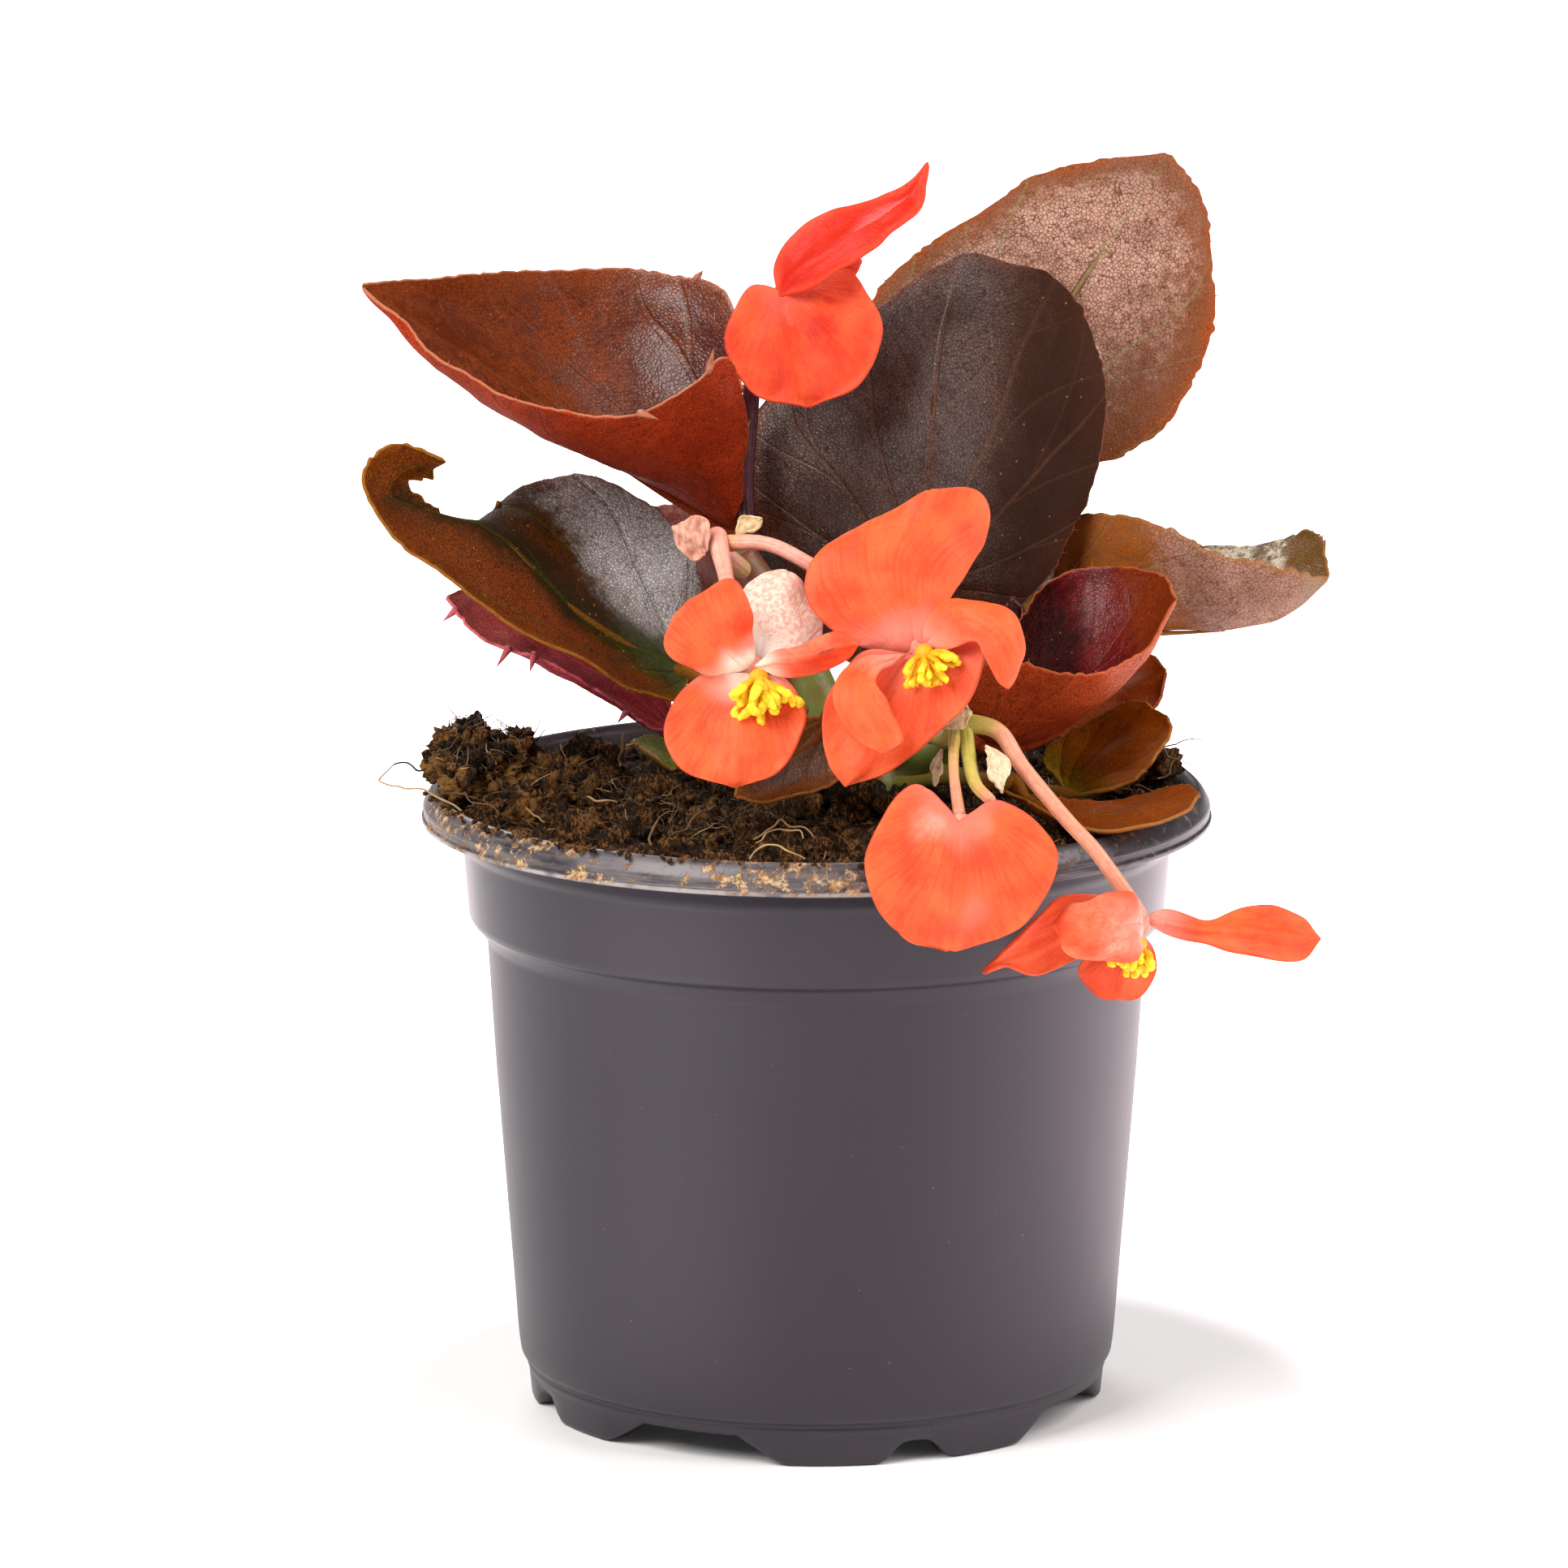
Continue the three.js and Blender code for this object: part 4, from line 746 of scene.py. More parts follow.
def vein_lines(u, v):
    """How near each flat place is to a main vein: 1 on the vein."""
    rho, phi = np.hypot(u, v), np.arctan2(np.abs(v), u)
    nearest = np.zeros_like(u)
    for angle, begin, bend, width in VEINS:
        course = angle * (1 - 0.35 * rho) + bend * (rho - begin)
        gap = np.abs(phi - course) * rho
        line = np.exp(-(gap / (0.018 * width + 0.004)) ** 2) * width * np.clip((rho - begin) * 14, 0, 1)
        nearest = np.maximum(nearest, line * np.clip(1.25 - rho, 0, 1))
    return nearest


def noise_on(sheet, size, seed):
    """Random swellings about as wide as the size, one value for each point of a grid."""
    flat = (sheet.reshape(-1, 3) / size + seed).tolist()
    return np.array([noise.noise(p) for p in flat]).reshape(sheet.shape[:2])


def scallops(margin, seed):
    """The teeth of a margin: how far each point stands out, from 0 between teeth to 1."""
    teeth = run_along(margin) / TOOTH_SPACING
    pace = teeth + 0.7 * np.sin(teeth * 0.83 + seed) + 0.3 * np.sin(teeth * 2.9 + seed * 2)
    tooth = np.floor(pace)
    size = 0.15 + 0.85 * (np.abs(np.sin(tooth * 12.9898 + seed) * 43758.5453) % 1)
    return size * np.sin(np.pi * (pace - tooth) ** 1.5) ** 0.7


def close_blade(sheet, thickness):
    """Both faces of a sheet with a thin rounded rim. The face toward its normal comes first."""
    rows, columns = sheet.shape[:2]
    half = np.full((rows, columns), thickness / 2)
    half[:, [0, -1]] *= RIM_THINNING
    half[[0, -1], :] *= END_THINNING
    normal = grid_normals(sheet) * half[..., None]
    points = np.vstack([(sheet + normal).reshape(-1, 3), (sheet - normal).reshape(-1, 3)])
    grid = rows * columns
    faces = []
    for i in range(rows - 1):
        for j in range(columns - 1):
            a = i * columns + j
            b, c, d = a + 1, a + 1 + columns, a + columns
            faces.append((a, b, c, d))
            faces.append((a + grid, d + grid, c + grid, b + grid))
        a, b = i * columns, (i + 1) * columns
        faces.append((a, b, b + grid, a + grid))
        a, b = a + columns - 1, b + columns - 1
        faces.append((a, a + grid, b + grid, b))
    for j in range(columns - 1):
        faces.append((j, j + grid, j + 1 + grid, j + 1))
        a = (rows - 1) * columns + j
        faces.append((a, a + 1, a + 1 + grid, a + grid))
    return points, faces


def toothed(sheet, s, t, rim, ends, seed, teeth, ragged, hairs):
    """The sheet with its margins toothed and nibbled, and the rows and margins where bristles stand."""
    out = unit(np.gradient(sheet, axis=1)) * np.sign(t)[None, :, None]
    torn = 1 + ragged * np.clip((s - 0.55) * 4, 0, 1)
    bristles = []
    for edge in (0, -1):
        bite = scallops(sheet[:, edge], seed + edge)
        this_side = (t < 0 if edge == 0 else t > 0)[None, :]
        near = np.exp(-rim / 1.1) * this_side * ((bite - 0.5) * teeth * torn * ends)[:, None]
        sheet = sheet + out * near[..., None]
        nibbled = 0.34 * noise_on(sheet, 1.1, seed + 13) + 0.3 * noise_on(sheet, 2.6, seed + 17)
        near = np.exp(-rim / 0.8) * this_side * (min(teeth, NIBBLE_DEPTH) * torn * ends)[:, None]
        sheet = sheet + out * (near * nibbled)[..., None]
        for row in range(2, len(sheet) - 2):
            peak = bite[row] > bite[row - 1] and bite[row] >= bite[row + 1]
            if peak and ends[row] > 0.8 and draw.random() < hairs:
                bristles.append((row, edge))
    return sheet, bristles


def add_petiole(heap, plan, sheet, thick):
    """The ridge under a leaf and the petiole that it runs out into, as one tube."""
    rib = np.array([plan["base"], *plan["rib"], plan["tip"]], float)
    below = grid_normals(sheet)[[int(len(sheet) * share) for share, _ in RIDGE], sheet.shape[1] // 2]
    ridge = along(rib, [share for share, _ in RIDGE]) - below * np.array([depth for _, depth in RIDGE])[:, None]
    route = [*ridge, plan["base"], *plan["petiole"]]
    stalk = [thick * 0.92] * (len(plan["petiole"]) - 1)
    points, faces, run = tube(
        route, [0.15, 0.3, 0.5, 0.75, 1.0, thick * 1.05, *stalk, thick * 1.15], steps=60, sides=16,
    )
    last = len(route) - 1
    kind = np.interp(run, [4 / last, 6 / last], [0.7, 1.0])
    heap.add(points, faces, way=np.stack([run, run * 0 + 9, kind], axis=1), flat=0.5)


def add_bristles(heap, sheet, bristles):
    """A short hair on each of these teeth, leaning toward the tip."""
    for row, edge in bristles:
        root = sheet[row, edge]
        out = unit(root - sheet[row, 3 if edge == 0 else -4]) + 0.45 * unit(sheet[row + 2, edge] - root)
        end = root + unit(out) * draw.uniform(*BRISTLE_LENGTHS)
        points, faces, run = tube([root - unit(out) * 0.2, root, end], BRISTLE_RADII, steps=3, sides=4)
        heap.add(points, faces, way=np.stack([run, run * 0, run * 0 + 0.5], axis=1), flat=0.5)


def add_spikes(heap, sheet, spikes):
    """Longer points on the margin. Each spike is its margin, share of the way to the tip, and reach."""
    for edge, share, reach in spikes:
        row = int(round(share * (len(sheet) - 1)))
        root, inner, reach = sheet[row, edge], sheet[row, 2 if edge == 0 else -3], np.array(reach)
        route = [inner, root, root + reach * 0.5, root + reach]
        points, faces, run = tube(route, SPIKE_RADII, steps=8, sides=8)
        heap.add(points, faces, way=np.stack([run, run * 0 + 0.1, run * 0], axis=1), flat=0.5)


def leaf_points(heap, plan, size, seed, teeth=0.6, wave=0.6, hairs=0.4, spikes=(), ragged=0.0):
    """One leaf: its toothed and puckered blade, its petiole, its bristles and its spikes."""
    rows, columns, thick = SIZES[size]
    sheet, s, t, u, v, rim = sheet_of(plan, rows, columns, begin=0.02)
    still = np.clip(np.abs(v) / 0.12, 0, 1)
    u = u + WANDER * noise_on(sheet, WANDER_SIZE, seed) * still
    v = v + WANDER * noise_on(sheet, WANDER_SIZE, seed + 31) * still
    normal = grid_normals(sheet)
    ends = np.clip(np.minimum(s - s[0], LAST_ROW - s) * 12, 0, 1)
    bristles = []
    if teeth:
        sheet, bristles = toothed(sheet, s, t, rim, ends, seed, teeth, ragged, hairs)
    lift = wave * noise_on(sheet, WAVE_SIZE, seed + 5) * WAVE_HEIGHT * np.exp(-rim / 4) * ends[:, None]
    lift += PUCKER_HEIGHT * noise_on(sheet, PUCKER_SIZE, seed + 7) * np.clip(rim / 3, 0, 1)
    lift -= VEIN_DEPTH * vein_lines(u, v)
    sheet = sheet + normal * lift[..., None]
    points, faces = close_blade(sheet, LEAF_THICKNESS)
    one = np.ones(u.size)
    flat = np.concatenate([np.stack([u.ravel(), v.ravel(), one * side], axis=1) for side in (1, -1)])
    share = np.broadcast_to(s[:, None], u.shape).ravel()
    way = np.tile(np.stack([share, rim.ravel(), one * 0], axis=1), (2, 1))
    heap.add(points, faces, flat=flat, way=way)
    add_petiole(heap, plan, sheet, thick)
    add_bristles(heap, sheet, bristles)
    add_spikes(heap, sheet, spikes)


def vein_marks(u, v):
    """The main veins on the flattened blade: 1 on the vein."""
    rho, phi = length_of(u, v), v.math("ARCTAN2", abs(v), u)
    lines = None
    for angle, begin, bend, width in VEINS:
        course = angle - 0.35 * angle * rho + bend * (rho - begin)
        gap = abs(phi - course) * rho
        line = rise(0.0045 * width + 0.001 - gap, -0.004, 0.0015) * width
        if begin:
            line = line * rise(rho, begin, begin + 0.07)
        lines = line if lines is None else lines.math("MAXIMUM", lines, line)
    return lines * rise(1.25 - rho, 0.0, 0.75)


def leaf_finish(
    name, top, under, edge, vein, glow=0.5, under_glow=0.3, gleam=0.5, grain=1.0, zones=(), dry=None, shine=(),
):
    """The waxy skin of one leaf. Top and under are two tones each, and glow is how clear the veins
    are. A zone is a face, what it is measured by, two limits, colour and strength. The gleam lies
    where each measure of the shine is past its limits. Dry is where a dried strip begins and ends."""
    made, start = finish(name)
    place = spot(start)
    flat = mark_on(start, "flat", "Vector")
    way = mark_on(start, "way", "Vector")
    u, v, side = (part_of(flat, axis) for axis in "XYZ")
    share, rim, stalk = (part_of(way, axis) for axis in "XYZ")
    upper = side > 0.0
    on_blade = 1 - rise(stalk, 0.1, 0.4)
    lines = vein_marks(u, v) * on_blade
    broad, fine = cloud(place, 8.0, 3.0), cloud(place, 1.6, 5.0, 0.65)
    # The grain is small domes with dark pips between them.
    seam = cells(place, LEAF_GRAIN, "DISTANCE_TO_EDGE")
    dome = rise(seam, 0.0, 0.34)
    pips = 1 - rise(seam + (fine - 0.5) * 0.16, 0.01, 0.14)
    patch = rise(broad * 0.6 + fine * 0.4, 0.4, 0.6)
    upper_skin = coat(patch * 0.6 + 0.4, *top)
    upper_skin = coat(pips * 0.5 * grain, upper_skin, top[0])
    under_skin = coat(patch * 0.5 + 0.5, *under)
    under_skin = coat(pips * 0.75 * grain, under_skin, under[0])
    measures = {
        "share": share, "rim": rim, "across": v, "beside": abs(v), "slant": share - v, "heart": share + abs(v),
    }
    for face, measure, low, high, tint, strength in zones:
        drift = (broad + fine - 1) * abs(high - low) * 1.2
        mask = rise(measures[measure] + drift, low, high) * (1 - pips * 0.32 * grain) * strength
        if face != "under":
            upper_skin = coat(mask, upper_skin, tint)
        if face != "top":
            under_skin = coat(mask, under_skin, tint)
    upper_skin = coat(lines * glow, upper_skin, vein)
    under_skin = coat(lines * under_glow, under_skin, vein)
    upper_skin = coat(pips * 0.24 * grain, upper_skin, "120600")
    under_skin = coat(pips * 0.34 * grain, under_skin, "3a1a0c")
    skin = coat(upper, under_skin, upper_skin)
    skin = coat(rise(cloud(place, 0.9, 5.0, 0.75), 0.46, 0.62) * 0.3, skin, coat(upper, under[0], top[0]))
    skin = coat((1 - rise(rim + fine * 0.5 - 0.25, 0.0, 0.32)) * 0.7, skin, edge)
    skin = coat(rise(0.1 - cells(place, 1.8), 0.0, 0.05) * 0.28 * grain, skin, "b98a5c")
    if dry:
        # A strip dried to pale paper, scorched brown in places.
        low, high = dry
        paper = rise(share + fine * 0.1 - 0.05, low, low + 0.05) * rise(share + fine * 0.06, high, high - 0.05)
        paper = paper * upper * rise(fine * 0.7 + broad * 0.3, 0.36, 0.46)
        scorched = coat(rise(cloud(place, 2.0, 5.0, 0.7), 0.42, 0.6), "6a4a24", "dccdb0")
        skin = coat(paper, skin, coat(pips * 0.4, scorched, "4a3418"))
    # The ridge has the margin's tone, and the petiole is green with a flush.
    skin = coat(rise(stalk, 0.2, 0.4), skin, edge)
    skin = coat(rise(stalk, 0.55, 0.65), skin, coat(0.35, under_skin, vein))
    skin = coat(rise(stalk, 0.75, 0.95), skin, coat(patch, "6f7a35", edge))
    height = dome * 0.026 * grain + cloud(place, 2.6, 4.0, 0.6) * 0.26 - lines * 0.16
    polish = (upper * 0.85 + 0.15) * gleam * on_blade * (1 - pips * 0.5)
    for measure, low, high in shine:
        polish = polish * rise(measures[measure] + (broad + fine - 1) * abs(high - low) * 0.8, low, high)
    rippled = relief(height, strength=1.0, depth=1.0)
    dull = start.node("ShaderNodeBsdfPrincipled", {}, {
        "Base Color": skin, "Roughness": 0.5 + fine * 0.1 + (1 - upper) * 0.14, "Specular IOR Level": 0.07,
        "Normal": rippled,
    })
    waxed = start.node("ShaderNodeBsdfPrincipled", {}, {
        "Base Color": skin, "Roughness": 0.3 + fine * 0.12, "Specular IOR Level": 1.0, "Normal": rippled,
    })
    both = start.node("ShaderNodeMixShader", {}, {0: polish, 1: dull, 2: waxed})
    start.node("ShaderNodeOutputMaterial", {}, {"Surface": both})
    return made


LEFT_LEAVES = {
    "leaf_upper_left": dict(
        base=(-10, 8, 115.5), tip=(-60, 0, 150), cup=(4, 3),
        left=[(-10.5, -10, 141), (-21, -15, 136), (-33.5, -13, 135.5), (-47.5, -6, 140)],
        rib=[(-16, 8, 119), (-26, 8, 125), (-37.5, 7, 133.5), (-50, 4, 142.5)],
        right=[(-11.5, 14, 144.5), (-21, 22, 148.5), (-33.5, 22, 149), (-49, 12, 149.5)],
        petiole=[(-9, 5, 112), (-7, 2, 108)],
        size="large", slot="leaf_red", top=("421404", "7c340e"), under=("741c04", "a63612"), edge="c07a5c",
        vein="7a3c1c", glow=0.3, gleam=0.62, teeth=0.35, wave=0.8, hairs=0.15, shine=[("share", 0.66, 0.34)],
        zones=[("top", "share", 0.38, 0.05, "4c1a1c", 0.8), ("top", "rim", 4.0, 0.0, "8a3c10", 0.6)],
        spikes=[
            (0, 0.27, (0.5, -0.4, 2.4)), (0, 0.42, (2.4, -0.8, -0.7)), (-1, 0.3, (0.8, 0.2, 1.0)),
            (-1, 0.1, (1.2, 0.2, 0.5)),
        ],
    ),
    "leaf_mid_left": dict(
        base=(-16.5, -6, 99), tip=(-48, -16, 129), cup=(1, 1.5),
        left=[(-19, -14, 97), (-27.5, -21, 102.5), (-38, -25, 108.5), (-47, -27, 115), (-54.5, -25, 120.5),
            (-58.5, -22, 127.5), (-54.5, -20, 131.5)],
        rib=[(-22, -9, 102.5), (-30.5, -11, 107.5), (-37.5, -12, 115), (-43, -14, 120), (-50, -16, 122.5),
            (-55.5, -18, 125), (-53, -17, 128)],
        right=[(-14.5, 2, 104.5), (-17.5, 6, 115), (-27.5, 8, 122), (-38.5, 4, 123), (-45.5, -9, 119),
            (-52.5, -14, 125.5), (-51, -13, 126.5)],
        petiole=[(-8, -3, 96), (1, 0, 93)],
        size="large", slot="leaf_olive", top=("1e0e00", "462203"), under=("6e3006", "803c0c"), edge="96601e",
        vein="3c4a06", glow=0.35, gleam=1.0, grain=1.6, teeth=0.6, ragged=1.2,
        shine=[("slant", 0.2, 0.07), ("share", 0.62, 0.5), ("across", 0.04, 0.12)],
        zones=[
            # The pale grey zone measured by the slant is a painted highlight.
            ("top", "slant", 0.22, 0.04, "b2acaa", 0.85), ("top", "across", 0.12, 0.04, "241a04", 0.85),
            ("top", "share", 0.5, 0.62, "3a2206", 0.8), ("top", "across", 0.0, -0.08, "70300a", 0.95),
            ("top", "share", 0.66, 0.82, "803c08", 0.85), ("top", "heart", 0.3, 0.12, "2c3a06", 0.9),
            ("top", "rim", 2.0, 0.0, "8a5218", 0.3),
        ],
    ),
    "leaf_low_left": dict(
        base=(-18.5, 6, 89), tip=(-49.5, 8, 107), cup=(1, 1),
        left=[(-24.5, -2, 93), (-34, -4, 99), (-45.5, 1.5, 103.3)],
        rib=[(-25.5, 8, 94.5), (-33.5, 10, 98.5), (-42, 10, 103.5)],
        right=[(-22.5, 22, 100.5), (-31.5, 26, 106), (-41, 22, 108.5)],
        petiole=[(-8, 4, 87.5), (3, 1, 87.5)],
        size="middle", slot="leaf_crimson", top=("6c0c14", "9c2630"), under=("8c1420", "b8424c"), edge="c8626a",
        vein="b85054", glow=0.4, under_glow=0.4, teeth=1.4, gleam=0.2, hairs=0.1,
        zones=[("both", "share", 0.5, 0.7, "b4524a", 0.7), ("both", "share", 0.8, 0.92, "7c3028", 0.7)],
        spikes=[
            (0, 0.64, (-1.6, -0.6, -2.4)), (0, 0.57, (-0.6, -0.6, -2.2)), (0, 0.25, (-1.4, -0.3, -1.8)),
            (0, 0.9, (-1.8, 0.0, -1.6)),
        ],
    ),
    "leaf_small_left": dict(
        base=(-18, -6, 87), tip=(-24.5, -8, 90.5), cup=(0.5, 0.5),
        left=[(-19.5, -11, 87), (-22.5, -12, 89)],
        rib=[(-20, -7, 88), (-22.5, -8, 89.5)],
        right=[(-19.5, -2, 89), (-22, -4, 90.5)],
        petiole=[(-8, -4, 86.5), (3, -1, 86)],
        size="small", slot="leaf_green", top=("4a5414", "6d6a2a"), under=("5a6020", "7a6430"), edge="8a5a34",
        vein="8a9a3a", teeth=0.0,
    ),
    "leaf_behind_left": dict(
        base=(-11.5, 14, 105.5), tip=(-23, 30, 115), cup=(1, 1),
        left=[(-17, 20, 103.5), (-21, 27, 107.5), (-23.5, 31, 112)],
        rib=[(-14, 18, 108.5), (-16.5, 22, 111), (-19.5, 26, 113.5)],
        right=[(-10, 12, 112.5), (-12.5, 16, 116), (-17, 24, 116.5)],
        petiole=[(-9, 9, 104.5), (-4.5, 1.5, 103.5)],
        size="middle", slot="leaf_pink", top=("7a342c", "96503c"), under=("8a4640", "b06a5e"), edge="a85a3a",
        vein="b07a5a", teeth=0.4,
    ),
}
# What a leaf says of its form, and what it says of its margin. All the rest is for its skin.
FORM_WORDS = ("base", "tip", "cup", "left", "rib", "right", "petiole", "size", "slot")
MARGIN_WORDS = ("teeth", "wave", "hairs", "spikes", "ragged")


def grow(leaves):
    """Makes each leaf with its petiole one piece."""
    for name, leaf in leaves.items():
        heap = Heap()
        margin = {word: leaf[word] for word in leaf if word in MARGIN_WORDS}
        leaf_points(heap, leaf, leaf["size"], sum(ord(letter) for letter in name) % 97, **margin)
        look = {word: leaf[word] for word in leaf if word not in FORM_WORDS + MARGIN_WORDS}
        heap.piece(name + "_blade", leaf["slot"], leaf_finish(name + "_skin", **look), name)


grow(LEFT_LEAVES)

# The leaves in the middle and at the right: the dark centre leaf stands upright behind the
# flowers, the upper right one shows its underside, and the red one is cupped like a bowl.
RIGHT_LEAVES = {
    "leaf_centre": dict(
        base=(15, 3, 110), tip=(20, 14, 152.5), cup=(-1, -1),
        left=[(-2.5, 9, 109.5), (-10.5, 12, 122), (-4.5, 13, 136), (10, 11, 147)],
        rib=[(14.5, 0, 120), (15, 0, 130.5), (16, 4, 140.5), (18, 10, 147.5)],
        right=[(26, 6, 105.5), (35, 8, 117.5), (38.5, 8, 135), (32.5, 11, 148.5)],
        petiole=[(15.5, 4.5, 106), (15, 6, 102)],
        size="large", slot="leaf_dark", top=("301810", "583f36"), under=("3a1a0c", "502a18"), edge="84462a",
        vein="5e3a26", glow=0.65, gleam=0.4, grain=1.4, teeth=0.6, shine=[("across", 0.26, 0.06)],
        zones=[
            ("top", "rim", 6.0, 0.2, "6a3620", 0.75), ("top", "across", 0.12, 0.3, "281206", 0.9),
            ("top", "beside", 0.16, 0.02, "584844", 0.4),
        ],
    ),
    "leaf_upper_right": dict(
        base=(22.5, 14, 116.5), tip=(47.5, 32, 163.5), cup=(1, 1),
        left=[(35.5, 22, 121.5), (47.5, 26, 127.5), (53.7, 30, 141), (53, 32, 155)],
        rib=[(26, 19, 129), (32, 22, 141.5), (38, 26, 150.5), (43.5, 30, 158)],
        right=[(11.5, 22, 124), (6.8, 26, 142.5), (17, 28, 153), (32, 32, 161)],
        petiole=[(20.5, 13, 114), (18, 10.5, 109.5)],
        # Its pale pinkish-grey underside tone is partly painted sheen.
        size="large", slot="leaf_pink", top=("5a2a14", "703c18"), under=("6c4230", "be9482"), edge="9a4c0c",
        vein="8a8450", under_glow=0.45, gleam=0.5, teeth=0.7, hairs=0.2, grain=1.2,
        zones=[
            ("under", "across", -0.08, -0.3, "683a20", 0.9), ("under", "rim", 9.0, 2.5, "7c421a", 0.9),
            ("under", "rim", 3.0, 0.0, "9c4404", 0.95),
            ("under", "share", 0.7, 0.95, "7c5848", 0.5), ("under", "share", 0.42, 0.1, "744a2c", 0.8),
        ],
    ),
    "leaf_right": dict(
        base=(31.5, 14, 106.5), tip=(68.5, 12, 109), cup=(1, 2),
        left=[(38.5, 28, 113.5), (46.5, 31, 111), (54.5, 31, 110), (61.5, 28, 111.5), (67.5, 22, 113.5)],
        rib=[(37, 14, 103), (43.5, 14, 101.5), (50, 14, 101.5), (56.5, 13, 102), (63, 12, 104)],
        right=[(34, 13, 116.5), (40, 7, 118.3), (46.5, 3.5, 116.8), (53.5, 2, 114), (62.5, 5.5, 111.5)],
        petiole=[(25, 12, 104.5), (17, 8, 105.5)],
        size="large", slot="leaf_olive", top=("6a3a04", "7c4a10"), under=("7c5242", "b08874"), edge="8c5c22",
        vein="8a7a50", glow=0.4, under_glow=0.3, dry=(0.4, 0.8), teeth=0.5, ragged=1.4, gleam=0.3, hairs=0.2,
        zones=[
            ("under", "share", 0.6, 0.36, "9c540a", 0.97), ("top", "share", 0.74, 0.8, "66450a", 0.95),
            ("under", "share", 0.82, 0.9, "867058", 0.8), ("under", "rim", 2.0, 0.0, "a0622a", 0.4),
        ],
    ),
    "leaf_cup_right": dict(
        base=(21.5, -12, 92), tip=(47, -13, 110.5), cup=(3, 2),
        left=[(24, -3, 99), (27, 0, 105.5), (30.5, 2, 110), (37, 1, 112.5), (44.5, -5, 112.5)],
        rib=[(24.5, -14, 91.5), (29, -14, 92), (33.5, -14, 94.5), (38, -14, 98.5), (42.5, -14, 104)],
        right=[(18.4, -21, 101.3), (22.8, -24.5, 104), (30, -27, 104), (37, -26, 103.5), (43, -21, 105.5)],
        petiole=[(19.5, -7, 90.5), (16, -1.5, 89)],
        size="large", slot="leaf_red", top=("4e0506", "741210"), under=("90300c", "ba4e26"), edge="b05a34",
        vein="6c2012", glow=0.3, gleam=0.36, teeth=0.6, hairs=0.12,
        shine=[("share", 0.54, 0.64), ("share", 0.8, 0.66)],
        zones=[
            # The near-black zone toward the base is painted shadow cast by the flowers in front.
            ("top", "share", 0.68, 0.8, "7c300a", 0.95), ("top", "share", 0.62, 0.5, "140000", 1.0),
            ("under", "share", 0.62, 0.95, "bc7462", 0.8),
        ],
    ),
    "leaf_behind_right": dict(
        base=(30.5, 6, 88.5), tip=(46.5, 5, 97.5), cup=(1, 1),
        left=[(33, 13, 95.5), (38, 13.5, 99.3), (44, 10, 99.3)],
        rib=[(35, 6, 92), (40, 6, 94.5), (44, 5, 96.5)],
        right=[(37, 0, 90.5), (41.5, -2, 92), (45.5, 0, 94)],
        petiole=[(25, 3, 88.5), (17, -1, 89)],
        size="middle", slot="leaf_red", top=("943f10", "a8501e"), under=("6a2c0e", "7c3c18"), edge="8a4c22",
        vein="6a3c1a", teeth=0.3, gleam=0.03,
    ),
    "leaf_low_right": dict(
        base=(33, -12, 84), tip=(46, -14, 95), cup=(1, 1),
        left=[(29.5, -8, 88), (34.5, -6, 92), (42, -9, 96)],
        rib=[(35, -12, 86.5), (38, -13, 89.5), (42, -14, 92.5)],
        right=[(37.5, -19, 85.5), (42, -21, 89), (45, -19, 93)],
        petiole=[(26, -8, 84.5), (14, -1, 85.5)],
        size="middle", slot="leaf_olive", top=("843f04", "9a560a"), under=("662e04", "7e440c"), edge="94602a",
        vein="6c5010", glow=0.3, teeth=0.6, gleam=0.06,
        zones=[("top", "share", 0.4, 0.1, "807a0c", 0.85)],
    ),
    "leaf_rim": dict(
        base=(23.5, -24, 88), tip=(49.8, -26, 87), cup=(1, 1),
        left=[(30, -22, 86), (37.5, -21, 85.3), (47, -20.5, 87.4)],
        rib=[(30, -27, 86), (37, -29, 85), (44.5, -28, 86)],
        right=[(30, -32, 85.3), (39, -36, 84.2), (47, -33, 86.2)],
        petiole=[(18, -15, 87), (13, -6, 84.5), (9, 1, 83)],
        size="middle", slot="leaf_olive", top=("6e3004", "843e08"), under=("743608", "8c4810"), edge="a06c34",
        vein="7a5a10", teeth=0.5, gleam=0.15,
        zones=[("top", "share", 0.3, 0.1, "4e4a08", 0.6)],
    ),
    "leaf_small_front": dict(
        base=(1.5, -20, 96), tip=(-10.5, -33, 88), cup=(1, 1),
        left=[(4, -22, 90), (0, -28, 88), (-6, -33, 87.5)],
        rib=[(-1.5, -24, 93.5), (-5, -28, 91.5), (-8, -31, 89.5)],
        right=[(-3, -20, 96), (-7.5, -23, 94.5), (-10.5, -29, 91)],
        petiole=[(4, -12, 93), (4, -1, 88)],
        size="small", slot="leaf_red", top=("3c1c06", "62340c"), under=("4a2208", "6c380e"), edge="b06a2c",
        vein="7a4414", teeth=0.0, gleam=0.3, zones=[("top", "rim", 4.0, 0.5, "8c4c10", 0.8)],
    ),
    "leaf_young": dict(
        base=(26.4, 4, 102), tip=(25.9, 2.4, 108), cup=(0.5, 0.5),
        left=[(24.7, 3, 104), (24.7, 2.6, 106.5)],
        rib=[(26.4, 3, 104), (25.9, 2.6, 106)],
        right=[(28.2, 3, 104), (27.7, 2.6, 106.5)],
        petiole=[(25, 5, 98.5), (22.5, 2, 94), (20, -1.5, 91.5)],
        size="small", slot="leaf_dark", top=("240a0a", "3a1412"), under=("2c0e0c", "401a14"), edge="5a2a1e",
        vein="4a201a", teeth=0.0,
    ),
}
grow(RIGHT_LEAVES)

